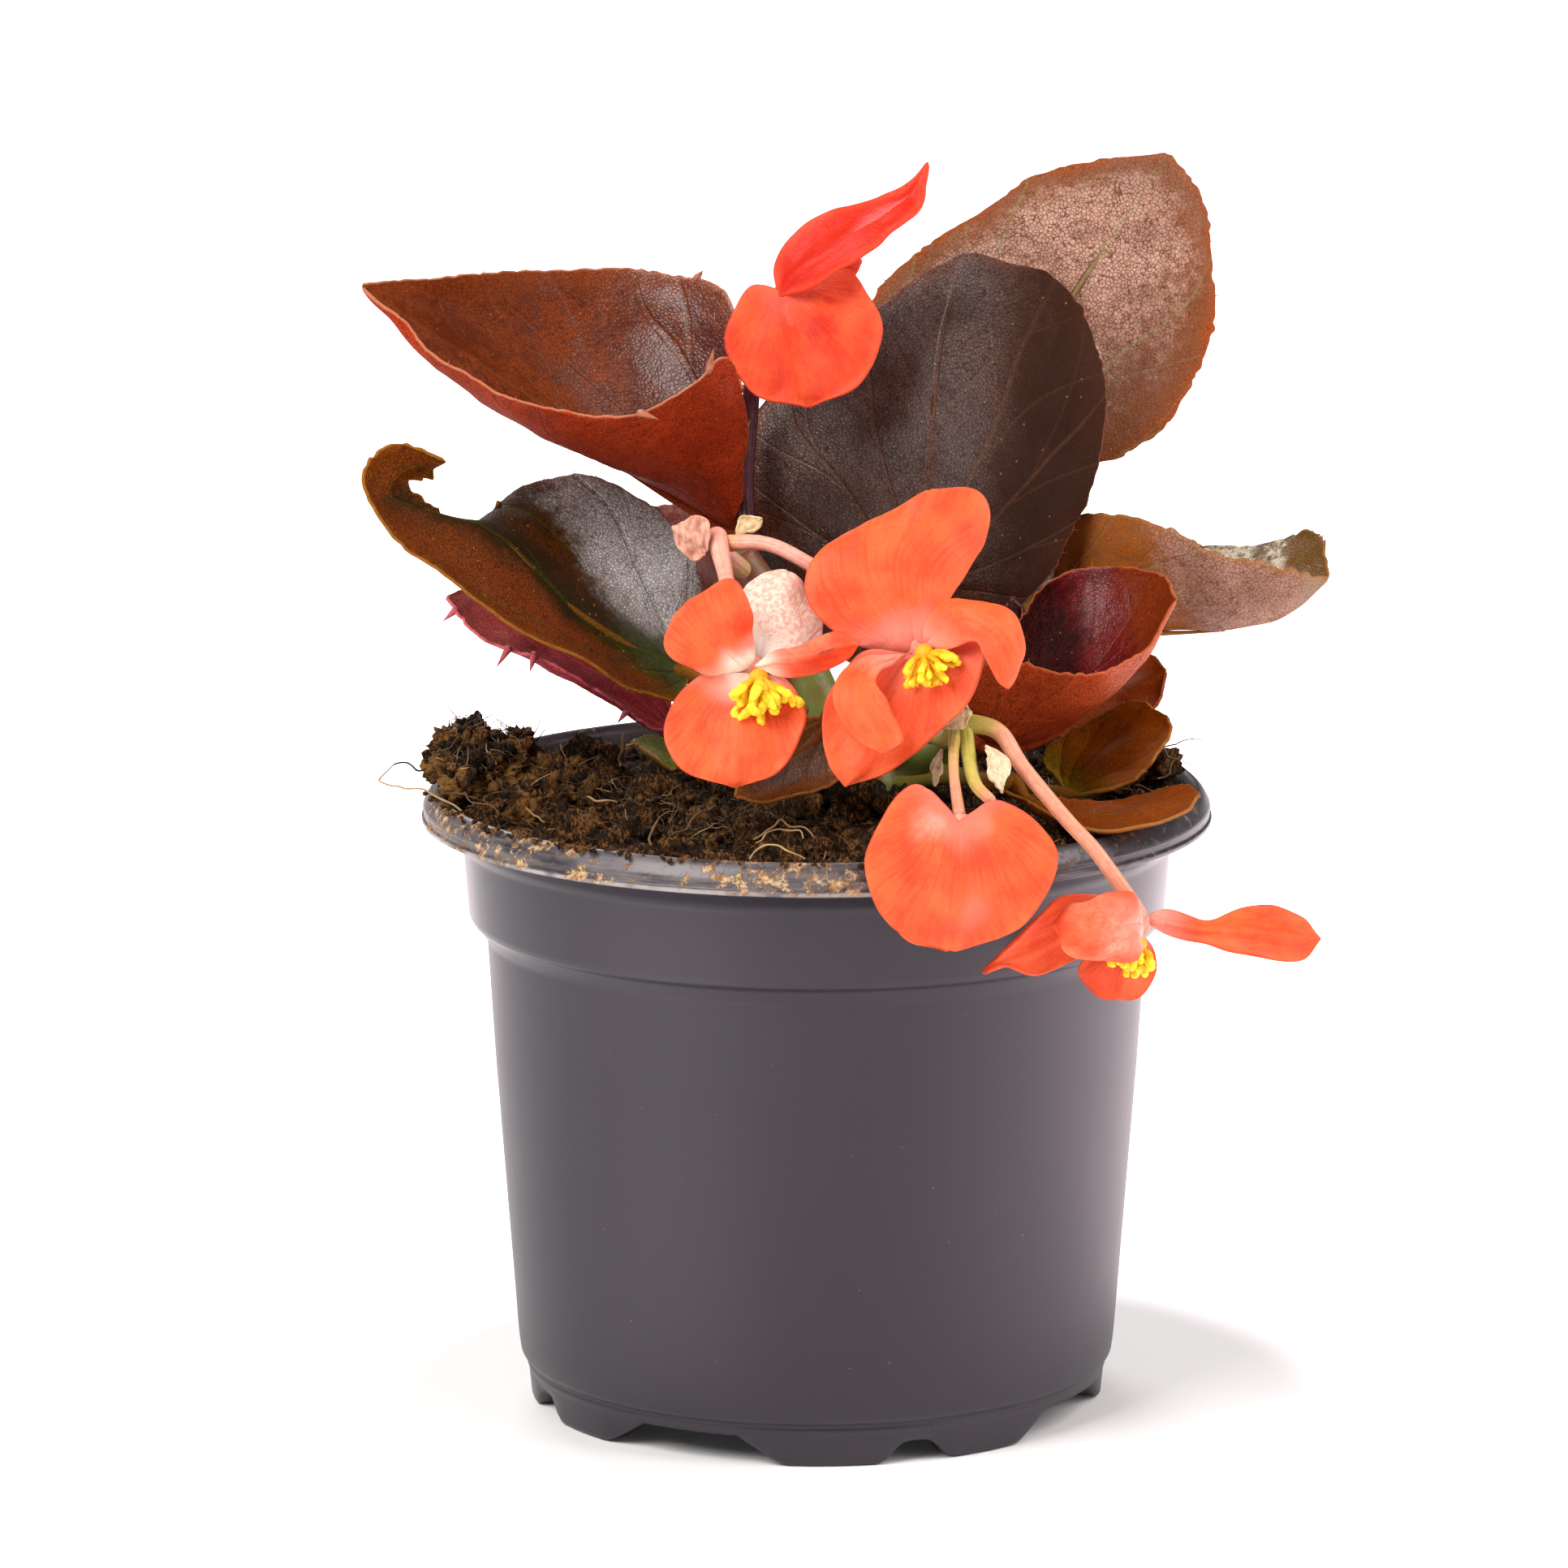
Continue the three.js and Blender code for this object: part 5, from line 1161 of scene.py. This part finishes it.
# The leaves at the back, on the side that the photo hides: waxy and bronze above, redder
# underneath, each on a petiole that grows from the stems like those in front.
BACK_LEAVES = {
    "leaf_back_right": dict(
        base=(22, 16, 97), tip=(46, 44, 103), cup=(1, 1),
        left=[(20, 28, 105), (24, 38, 109), (33, 45, 108)],
        rib=[(28, 24, 102), (34, 31, 105), (40, 38, 105)],
        right=[(34, 17, 99), (43, 25, 102), (48, 34, 102)],
        petiole=[(17, 10, 95), (11.5, 4, 93.5)],
        size="middle", slot="leaf_dark", top=("40200c", "5a3016"), under=("6c2614", "843c20"), edge="8a4c22",
        vein="6a6028", glow=0.4,
    ),
    "leaf_back": dict(
        base=(6, 14, 96), tip=(6, 49, 121), cup=(1, 1),
        left=[(-7, 20, 106), (-12, 30, 113), (-8, 42, 118)],
        rib=[(6, 24, 105), (6, 33, 112), (6, 41, 117)],
        right=[(18, 22, 106), (22, 31, 113), (19, 42, 118)],
        petiole=[(8, 9, 93), (9.5, 3, 90)],
        size="middle", slot="leaf_dark", top=("3c1e0e", "562e18"), under=("662214", "7c3420"), edge="86481e",
        vein="66602a", glow=0.4,
    ),
    "leaf_back_left": dict(
        base=(-3, 15, 92), tip=(-28, 48, 103), cup=(1, 1),
        left=[(-14, 20, 95), (-24, 32, 98), (-30, 40, 101)],
        rib=[(-9, 25, 97.5), (-15, 34, 101.5), (-22, 41, 103)],
        right=[(0, 31, 101), (-4, 41, 105), (-14, 47, 106)],
        petiole=[(1, 8, 90), (5, 2, 87)],
        size="middle", slot="leaf_dark", top=("42220e", "5e3618"), under=("6e2a14", "863e20"), edge="8c5020",
        vein="6c642c", glow=0.4,
    ),
}
grow(BACK_LEAVES)

# The flower stalks: slender, juicy and slightly ribbed, dark maroon at the top of the plant and
# pink to pale green at the sides. They thicken a little at each fork.
STALK_SIDES = 20
STALK_STEPS = 26
# Each route is its places and the radii along it. Greens are shares of a route's way, and how
# green it is there.
STALKS = {
    "stalk_top": dict(
        slot="stalk_dark", tones=("2c0f16", "54202a"), routes=[
            ([(-9, 2, 111), (-9.5, 5.5, 121), (-9, 6, 131), (-8, 4, 138), (-4.2, -0.3, 148.6)],
             [1.5, 1.15, 1.2, 1.1, 1.3]),
        ],
    ),
    "stalk_left": dict(
        slot="stalk", tones=("ea907a", "f8c0ae"), routes=[
            ([(-9.5, 1, 111.5), (-12.5, -8, 116), (-13, -16, 119), (-12, -20, 115.5), (-11, -27, 112.5),
              (-9.5, -30.5, 108), (-8, -31.5, 104.5)], [1.3, 1.05, 1.4, 1.05, 0.95, 1.0, 1.3]),
            ([(-13, -15, 118), (-6.5, -18, 118.5), (-0.5, -20.5, 116), (6.5, -20, 111.5), (11, -25, 108),
              (13.5, -30, 106.5)], [1.2, 0.95, 0.95, 0.9, 0.95, 1.2]),
        ],
    ),
    "stalk_right": dict(
        slot="stalk", tones=("de8666", "eeac92"), routes=[
            ([(9, -1, 87.5), (12, -13, 92.5), (16.5, -28, 95), (18, -34, 97.5), (20, -35, 98), (23.5, -36, 97),
              (26.5, -39, 93), (32, -43, 87), (35.5, -45, 83.5), (39.5, -46, 78), (41, -45, 75)],
             [1.4, 1.2, 1.2, 1.3, 1.25, 1.1, 1.0, 0.95, 0.95, 1.0, 1.3]),
            ([(18, -34, 97.5), (17.5, -40, 95.5), (17.5, -46, 93), (18, -54, 90)], [0.95, 0.7, 0.65, 0.8]),
            ([(19, -35, 97.5), (20, -44, 92.5), (22, -50, 91)], [1.0, 0.85, 0.75]),
        ],
        greens=[
            ([0, 0.2, 0.3, 0.45, 0.52], [1, 0.7, 1, 0.8, 0]), ([0, 0.3, 0.8], [1, 0.7, 0]),
            ([0, 0.6, 1], [1, 0.8, 0.1]),
        ],
    ),
}
for name, stalk in STALKS.items():
    heap = Heap()
    greens = stalk.get("greens", [([0, 0.12], [0.7, 0])] * len(stalk["routes"]))
    for (route, radii), (along_way, green) in zip(stalk["routes"], greens):
        points, faces, way = tube(route, radii, STALK_STEPS * len(route), STALK_SIDES)
        ribs = (np.arange(len(points)) % STALK_SIDES % 4 == 0) * 1.0
        heap.add(points, faces, way=np.stack([way, ribs, np.interp(way, along_way, green)], axis=1))
    skin, start = finish(name + "_skin")
    place = spot(start)
    way = mark_on(start, "way", "Vector")
    tone = rise(cloud(place, 1.1, 5.0, 0.7), 0.1, 0.9)
    skin_tone = coat(tone, *stalk["tones"])
    skin_tone = coat(part_of(way, "Y") * 0.35, skin_tone, stalk["tones"][0])
    skin_tone = coat(part_of(way, "Z"), skin_tone, coat(tone, "a8a838", "ccc468"))
    surface(start, {
        "Base Color": skin_tone, "Roughness": 0.36, "Specular IOR Level": 0.3,
        **juicy(0.2, (1.0, 0.4, 0.25), 1.2),
        "Normal": relief(cloud(place, 0.9, 3.0) - part_of(way, "Y") * 0.5, strength=0.5, depth=0.3),
    })
    heap.piece(name + "_stems", stalk["slot"], skin, name)

# The flowers: two to four soft orange-red petals on a small fleshy heart, paler toward the
# throat, with fine streaks along them and a lightly ruffled edge.
PETAL_THICKNESS = 0.5
PETAL_ROWS, PETAL_COLUMNS = 58, 28
RUFFLES = 11
HEART_SIZE, HEART_SHIFT = 0.85, (0, 0.9, 0)
# The tones of a petal are how white its throat is, and how pale it is in all: redder below 0. The paleness is set
# petal by petal and is partly painted light and shade, for how each petal is lit.
BLOOMS = {
    "bloom_top": dict(heart=(-4, -1.5, 149.5), radius=1.8, petals=[
        dict(
            base=(-4, -3, 149.5), tip=(-1, -6, 134.5), cup=(1.5, 1.5),
            left=[(4, -3, 152.5), (8.5, -6, 145), (5.5, -6, 137.5)],
            rib=[(-3.5, -7, 146), (-2.5, -8, 142), (-1.5, -7, 138)],
            right=[(-9, -3, 150), (-12, -5, 143.5), (-8.5, -6, 136.5)],
            tones=(0.05, -0.39),
        ),
        dict(
            base=(-5, -3, 148.5), tip=(14.5, -2, 166.5), cup=(0.5, 0.5),
            left=[(-5.5, -2, 153), (-1, -1, 158.5), (7, 0, 161), (12, -1, 163.5)],
            rib=[(-3, -5, 152), (2, -6, 155.5), (8.5, -5, 159.5), (12.5, -3, 162.5)],
            right=[(-0.5, -7, 151), (5, -8, 154), (11, -7, 158.5), (14, -4, 161.5)],
            tones=(0, -0.94),
        ),
        dict(
            base=(-3.5, 0, 149), tip=(6, 5, 152.5), cup=(0.3, 0.3),
            left=[(-0.5, 3, 152), (3, 4, 153.5)],
            rib=[(-0.5, 3, 150), (3, 4, 151.5)],
            right=[(0.5, 3, 148.5), (4, 4, 150)],
            tones=(0, -0.84),
        ),
    ]),
    "bloom_left": dict(heart=(-8.4, -33.5, 105.2), radius=2.0, petals=[
        dict(
            base=(-9, -34, 105), tip=(-16.5, -37, 114.5), cup=(-0.6, -0.6),
            left=[(-14, -36, 105), (-18.5, -38, 107), (-19.5, -38, 110)],
            rib=[(-12, -36, 108), (-14, -37, 110.5), (-15.5, -37, 112.5)],
            right=[(-8, -35, 108), (-8.5, -36, 113), (-11, -36, 117)],
            tones=(1.0, 0.0),
        ),
        dict(
            base=(-7.5, -33, 106), tip=(-3.7, -28, 116.6), cup=(-0.5, -0.5),
            left=[(-8.7, -31, 109.5), (-9.3, -29, 114), (-7, -28, 116.3)],
            rib=[(-6.5, -32, 108.5), (-5, -31.3, 111.5), (-4, -30, 114.5)],
            right=[(-2.5, -33, 105.5), (0.7, -31, 108.5), (0, -29, 113)],
            tones=(0.9, 0.95),
        ),
        dict(
            base=(-8, -35, 105.5), tip=(5.5, -40, 109.5), cup=(0.4, 0.4),
            left=[(-5.5, -37, 108), (-2, -39, 109), (2.5, -40, 111)],
            rib=[(-5, -38, 106.8), (-1, -40, 107.5), (3, -41, 109)],
            right=[(-4.5, -37, 104.6), (0, -38, 105.2), (4, -39, 107.2)],
            tones=(0.7, 0.44),
        ),
        dict(
            base=(-8.5, -34.5, 104.5), tip=(-10.5, -42, 91), cup=(1, 1),
            left=[(-4, -37, 104), (-1.5, -40, 99.5), (-5, -42, 93)],
            rib=[(-9.5, -38, 101.5), (-10, -41, 97.5), (-10.5, -43, 94)],
            right=[(-15, -36, 104.5), (-19.5, -39, 99), (-17.5, -42, 93.5)],
            tones=(0.5, -0.1),
        ),
    ]),
    "bloom_middle": dict(heart=(12.8, -33, 107.2), radius=2.0, petals=[
        dict(
            base=(13, -33, 107), tip=(14.5, -26, 127), cup=(-0.8, -0.8),
            left=[(5.5, -34, 108), (-1, -33, 113), (-0.5, -30, 118.5), (5.5, -27, 122)],
            rib=[(12, -32, 111), (10.5, -31, 115), (10.5, -30, 119), (13, -28, 123.5)],
            right=[(15, -31, 110), (18, -28, 114), (22, -25, 120), (21, -25, 126)],
            tones=(0.22, 0.05),
        ),
        dict(
            base=(14, -33.5, 108), tip=(24.5, -40, 103.5), cup=(-0.4, -0.4),
            left=[(14.5, -34, 111), (18, -35, 114), (23.5, -37, 113.5), (26.5, -39, 108.5)],
            rib=[(15.5, -36, 110), (19, -38, 112.5), (22.5, -40, 111), (24.5, -41, 107.5)],
            right=[(17, -38, 108.5), (20, -40, 109.5), (21.5, -41, 107.5), (23, -41, 104.5)],
            tones=(0.3, -0.1),
        ),
        dict(
            base=(12.5, -34, 107), tip=(3.5, -44, 91.5), cup=(1, 1),
            left=[(20.6, -37, 109.3), (20.2, -40, 103.5), (14.5, -43, 97.5), (9, -44, 93.5)],
            rib=[(11, -39, 103.5), (9, -42, 100), (7, -44, 97), (5.5, -45, 94)],
            right=[(6, -36, 107.5), (2, -39, 103.5), (1, -42, 99.5), (1.5, -44, 94.5)],
            tones=(0.15, -0.1),
        ),
        dict(
            base=(11.5, -35, 107), tip=(8.5, -48, 96.5), cup=(0.3, 0.3),
            left=[(7.5, -43, 105.5), (9, -47, 103), (11, -48, 98.5)],
            rib=[(6.5, -42, 107), (5, -46, 103.5), (7.5, -48, 99)],
            right=[(5, -40, 107.5), (2, -44, 103.5), (4.5, -47, 98.5)],
            tones=(0.25, 0.3),
        ),
    ]),
    "bloom_heart": dict(heart=(18, -54.5, 89), radius=1.5, petals=[
        dict(
            base=(18, -54.5, 89.5), tip=(17.5, -55, 72.5), cup=(-1, -1),
            left=[(12, -55, 94), (6, -56, 85), (9.5, -56, 76)],
            rib=[(18, -58, 86), (18, -59, 81.5), (17.5, -58, 76.5)],
            right=[(23.5, -55, 92), (30.5, -56, 85.5), (26, -56, 76)],
            tones=(0.12, 0.0),
        ),
        dict(
            base=(18, -54, 89.5), tip=(16.5, -53, 72), cup=(0.4, 0.4),
            left=[(13, -53, 93), (7, -53, 84.5), (10.5, -53, 74.5)],
            rib=[(18, -52, 84.5), (17.5, -52, 80), (17, -52, 75.5)],
            right=[(22.5, -53, 91), (29, -53, 85), (24.5, -53, 76)],
            tones=(0.1, 0.0),
        ),
    ]),
    "bloom_spoon": dict(heart=(41.2, -44.8, 73.8), radius=1.9, petals=[
        dict(
            base=(41.5, -44, 74.5), tip=(64.5, -45, 72), cup=(0.4, 0.4),
            left=[(45, -43, 75.5), (50, -43, 74), (56, -42, 75.5), (62, -43, 74.5)],
            rib=[(45, -45, 74), (50, -46, 73.5), (56.5, -47, 73.5), (62, -46, 72.5)],
            right=[(45, -45, 72.5), (50, -46, 71.5), (56.5, -48, 70), (62, -46, 69.5)],
            tones=(0.3, -0.15),
        ),
        dict(
            base=(41.5, -45.5, 74), tip=(30, -53, 75.5), cup=(-0.6, -0.6),
            left=[(41.5, -49, 71), (38, -52, 70.5), (33, -54, 72)],
            rib=[(39, -52, 75.5), (35.5, -55, 75.5), (32, -55, 75.5)],
            right=[(41, -48, 78), (37, -51, 79), (32, -53, 78)],
            tones=(0.3, 0.44),
        ),
        dict(
            base=(41, -44.5, 75), tip=(21, -52, 69), cup=(0.4, 0.4),
            left=[(38.5, -46, 71.5), (34, -47, 70), (29, -49, 68.5), (24, -51, 70)],
            rib=[(37.5, -46, 75), (32.5, -47, 73.5), (27.5, -49, 71), (23.5, -51, 70)],
            right=[(36.5, -46, 78), (30.5, -48, 77.5), (25.5, -50, 73.5), (22.5, -51, 70.5)],
            tones=(0.3, 0.0),
        ),
        dict(
            base=(41, -44, 72.5), tip=(39, -43, 63.5), cup=(0.6, 0.6),
            left=[(43, -43, 70.5), (43.5, -43, 67), (41.5, -43, 64)],
            rib=[(40, -45, 69.5), (39.5, -45, 67.5), (39, -44, 65)],
            right=[(35.5, -43, 70), (33.5, -43, 67), (36, -43, 64)],
            tones=(0.3, 0.0),
        ),
    ]),
}
# Marks on single petals, bruised or scratched, with painted highlights and painted shade among them: place,
# reach, colour and strength.
PETAL_MARKS_AND_PAINTED_LIGHT = [
    # The three pale marks on the heart-shaped flower are painted highlights.
    ((14.0, -57, 89.4), 3.2, "ffd8c8", 0.35), ((21.5, -56, 89.0), 2.4, "ffb49c", 0.25),
    ((19.8, -58, 78.7), 3.6, "ff9c84", 0.25), ((14.2, -58, 83.6), 4.5, "d8321c", 0.5),
    ((12.7, -58.5, 79.6), 1.3, "a8304a", 0.6), ((10.8, -58.5, 81.2), 0.9, "a8304a", 0.5),
    ((22.8, -37, 112.8), 1.6, "c41850", 0.85), ((3.4, -41.5, 93.0), 2.2, "e4b4cc", 0.9),
    ((-15.7, -40, 92.8), 1.6, "c85a90", 0.6), ((-9.4, -34.5, 105.4), 3.4, "fff6ec", 0.7),
    # Painted shade on the top flower's short petal, under its long one.
    ((0.5, -7, 147.0), 4.5, "b41e0c", 0.7),
]
petal_skin, start = finish("petal_skin")
place = spot(start)
flat = mark_on(start, "flat", "Vector")
way = mark_on(start, "way", "Vector")
u, v, seed = (part_of(flat, axis) for axis in "XYZ")
share, rim, throat = (part_of(way, axis) for axis in "XYZ")
pale = mark_on(start, "pale")
around = v.math("ARCTAN2", v, u + 0.15) * 26.0
fan = start.node("ShaderNodeCombineXYZ", {}, {"X": u * 3.0, "Y": around, "Z": seed})
streaks = fan.node("ShaderNodeTexNoise", {}, {"Vector": fan, "Scale": 1.0, "Detail": 3.0, "Roughness": 0.6})
blush = cloud(place, 5.5, 4.0, 0.55)
red = coat(rise(blush * 0.6 + streaks * 0.4, 0.34, 0.66), "e84824", "fb6c38")
papillae = rise(cells(place, 0.45), 0.2, 0.5)
red = coat(papillae * 0.16, red, "cc2c12")
red = coat(rise(streaks, 0.5, 0.75) * 0.1, red, "c82812")
# Redder where the petal's paleness is below 0, partly painted shade.
red = coat(rise(pale + blush * 0.3, 0.0, -0.5), red, "c8240e")
red = coat((1 - rise(rim, 0.2, 1.6)) * 0.2, red, "ff7848")
red = coat((1 - rise(rim + blush * 0.3 - 0.15, 0.0, 0.3)) * 0.45, red, "c42a20")
mottles = rise(cloud(place, 0.6, 4.0, 0.7) + share * 0.16, 0.5, 0.68)
blank = coat(mottles * 0.6, "f8dccc", "f08468")
red = coat(rise(pale + blush * 0.4 - 0.2 - share * 0.12, 0.3, 0.7), red, blank)
red = coat((1 - rise(share + blush * 0.2 - 0.1, 0.08, 0.36)) * throat, red, "fff0e4")
centre = start.node("ShaderNodeVectorMath", {"operation": "SUBTRACT"}, {0: place, 1: tuple(AXIS * 1000)})
for spot_on, reach, tint, strength in PETAL_MARKS_AND_PAINTED_LIGHT:
    away = start.node("ShaderNodeVectorMath", {"operation": "DISTANCE"}, {0: centre, 1: spot_on}, "Value")
    mark = rise(away + (blush - 0.5) * reach * 2 + (streaks - 0.5) * reach * 0.8, reach, reach * 0.1) * strength
    red = coat(mark, red, tint)
silk = streaks * 0.12 + papillae * 0.02 + cloud(place, 2.2, 3.0) * 0.3
surface(start, {
    "Base Color": red, "Roughness": 0.44 + blush * 0.12, "Specular IOR Level": 0.25,
    **juicy(0.3, (1.0, 0.3, 0.2), 1.6), "Normal": relief(silk, strength=1.0, depth=1.0),
})


def petal_points(heap, plan, seed):
    """The blade of one petal."""
    sheet, s, t, u, v, rim = sheet_of(plan, PETAL_ROWS, PETAL_COLUMNS, begin=0.01)
    normal = grid_normals(sheet)
    ends = np.clip(np.minimum(s - s[0], LAST_ROW - s) * 8, 0, 1)[:, None]
    size = np.ptp(sheet.reshape(-1, 3), axis=0).max()
    fold = 0.35 * np.sin(np.arctan2(v, u + 0.12) * RUFFLES + seed) * np.clip(u, 0, 1)
    lift = fold * 0.8 + 0.9 * noise_on(sheet, size * 0.33, seed) * np.exp(-rim / 3)
    lift += 0.35 * noise_on(sheet, 3.0, seed + 3)
    out = unit(np.gradient(sheet, axis=1)) * np.sign(t)[None, :, None]
    nibble = 0.3 * noise_on(sheet, 5.0, seed + 9) * np.exp(-rim / 1.2)
    sheet = sheet + normal * (lift * ends)[..., None] + out * (nibble * ends)[..., None]
    points, faces = close_blade(sheet, PETAL_THICKNESS)
    one = np.ones(u.size)
    throat, pale = plan["tones"]
    share = np.broadcast_to(s[:, None], u.shape).ravel()
    flat = np.tile(np.stack([u.ravel(), v.ravel(), one * seed], axis=1), (2, 1))
    way = np.tile(np.stack([share, rim.ravel(), one * throat], axis=1), (2, 1))
    heap.add(points, faces, flat=flat, way=way, pale=pale)


for name, bloom in BLOOMS.items():
    heap = Heap()
    for count, petal in enumerate(bloom["petals"]):
        petal_points(heap, petal, 3.7 * count + len(name))
    points, faces = ball_mesh(4)
    swell = 1 + 0.07 * np.sin(points[:, 0] * 6) * np.cos(points[:, 2] * 5)
    ball = points * swell[:, None] * bloom["radius"] * HEART_SIZE
    heap.add(ball + np.array(bloom["heart"]) + np.array(HEART_SHIFT), faces, flat=0.3, pale=0.1,
             way=np.tile([0.1, 5.0, 0.3], (len(points), 1)))
    heap.piece(name + "_petals", "petal", petal_skin, name)

# The stamens: three of the open flowers have a crowded tuft of short, fleshy yellow clubs in
# front of the heart.
TUFTS = {
    "stamens_left": dict(
        centre=(-7.4, -36.6, 104.2), facing=(0.1, -0.65, -0.75), spread=5.8, girth=0.62, curl=1.5,
    ),
    "stamens_middle": dict(
        centre=(13.8, -36.6, 107.4), facing=(0.3, -0.55, -0.8), spread=5.4, girth=0.5, curl=0.5,
    ),
    "stamens_spoon": dict(
        centre=(40.8, -47.2, 71.8), facing=(-0.3, -0.5, -0.8), spread=3.8, girth=0.5, curl=0.6,
    ),
}
CLUBS = 32
SPIRAL_TURN = 2.4
TUFT_FOOT = 1.3
pollen_finish, start = finish("pollen_yellow")
place = spot(start)
way = mark_on(start, "way")
# Orange toward the clubs' roots, deep in the tuft, is painted shade; the other orange patches are at random.
pollen = coat(rise(cloud(place, 0.8, 4.0) * 0.6 + way * 0.4, 0.35, 0.7), "f2ac00", "ffe62a")
surface(start, {
    "Base Color": pollen, "Roughness": 0.55, **juicy(0.2, (1.0, 0.7, 0.1), 1.0),
    "Normal": relief(cloud(place, 0.3, 3.0), strength=0.5, depth=0.15),
})
for name, tuft in TUFTS.items():
    heap = Heap()
    facing = Vector(tuft["facing"]).normalized()
    turn = Vector((0, 0, 1)).rotation_difference(facing)
    centre = Vector(tuft["centre"])
    for club in range(CLUBS):
        share, angle = math.sqrt((club + 0.5) / CLUBS), club * SPIRAL_TURN
        lean = turn @ Vector((math.cos(angle) * share, math.sin(angle) * share, 1.1 - 0.35 * share))
        wobble = Vector((draw.gauss(0, 0.12), draw.gauss(0, 0.12), draw.gauss(0, 0.12)))
        end = centre + (lean + wobble) * tuft["spread"] * draw.uniform(0.68, 0.84)
        root = centre + lean * 0.2
        bend = root.lerp(end, 0.5) + wobble * 2.5
        curl = Vector((draw.gauss(0, 0.5), draw.gauss(0, 0.4), draw.gauss(-0.5, 0.4)))
        tip = end + curl * tuft["curl"]
        girth = tuft["girth"] * draw.uniform(0.85, 1.15)
        radii = [0.3, 0.36, girth * 0.8, girth, girth, girth * 0.55]
        points, faces, run = tube([root, bend, end, tip], radii, steps=18, sides=10)
        points += 0.16 * np.stack([noise_on(points[None], 0.8, club + k)[0] for k in (0, 40, 80)], axis=1)
        heap.add(points, faces, way=run)
    points, faces = ball_mesh(3)
    heap.add(points * TUFT_FOOT + np.array(tuft["centre"]), faces, way=0.1)
    heap.piece(name + "_clubs", "stamen", pollen_finish, name)

# The bracts: small withered scales at the forks of the stalks, thin and papery, curled by
# drying, from pale straw to brownish pink.
BRACT_THICKNESS = 0.3
BRACT_ROWS, BRACT_COLUMNS = 44, 22
BRACT_SPREAD = 1.18
BRACTS = {
    "bract_withered": dict(
        base=(-14.4, -19.2, 117.4), tip=(-18.2, -18.8, 120.4), cup=(0.5, 0.5),
        left=[(-15.6, -19.4, 116.6), (-17.4, -19.2, 118)],
        rib=[(-15.2, -19.6, 118.6), (-16.8, -19.6, 119.6)],
        right=[(-14, -19, 120.6), (-15.6, -18.8, 121.6)],
        tones=("c07c66", "e8b49c"),
    ),
    "bract_left": dict(
        base=(-10.4, -14.8, 119), tip=(-7.6, -14.6, 121), cup=(0.3, 0.3),
        left=[(-10, -14, 121)],
        rib=[(-9.2, -14.6, 120)],
        right=[(-8.4, -15, 119.6)],
        tones=("c2a070", "e0cba0"),
    ),
    "bract_right_top": dict(
        base=(20, -37, 99.8), tip=(16.4, -37, 98.2), cup=(-0.4, -0.4),
        left=[(18.6, -36.8, 101)],
        rib=[(18.2, -37.2, 99.6)],
        right=[(18.6, -37.4, 98.2)],
        tones=("b08a5c", "e4cba4"),
    ),
    "bract_right_low": dict(
        base=(16, -38, 95.4), tip=(15.2, -39.4, 91.4), cup=(0.2, 0.2),
        left=[(16.2, -39.4, 93.4)],
        rib=[(15.5, -39, 93.6)],
        right=[(14.8, -38.6, 93.6)],
        tones=("c8ac80", "f2e4c8"),
    ),
    "bract_right_mid": dict(
        base=(21.5, -40.8, 96.5), tip=(23.3, -44.1, 91.6), cup=(0.2, 0.2),
        left=[(24.2, -42, 94.8)],
        rib=[(22.9, -43, 94)],
        right=[(21.9, -44.1, 93.6)],
        tones=("c4a67a", "ecdcbe"),
    ),
}
for count, (name, plan) in enumerate(BRACTS.items()):
    sheet = sheet_of(plan, BRACT_ROWS, BRACT_COLUMNS, begin=0.03)[0]
    root = sheet[0, BRACT_COLUMNS // 2]
    sheet = root + (sheet - root) * BRACT_SPREAD
    crumple = 0.9 * noise_on(sheet, 1.5, count * 5) + 0.5 * noise_on(sheet, 0.7, count * 5 + 2)
    sheet = sheet + grid_normals(sheet) * (crumple * 0.5)[..., None]
    heap = Heap()
    heap.add(*close_blade(sheet, BRACT_THICKNESS))
    paper, start = finish(name + "_paper")
    place = spot(start)
    fibres = stretched(place, (1.0, 1.0, 0.25))
    grain = cloud(fibres, 0.5, 4.0, 0.7)
    surface(start, {
        "Base Color": coat(rise(grain, 0.3, 0.72), *plan["tones"]), "Roughness": 0.75,
        **juicy(0.15, (1.0, 0.8, 0.5), 0.8), "Normal": relief(grain, strength=0.6, depth=0.15),
    })
    heap.piece(name + "_scale", "bract", paper, name)
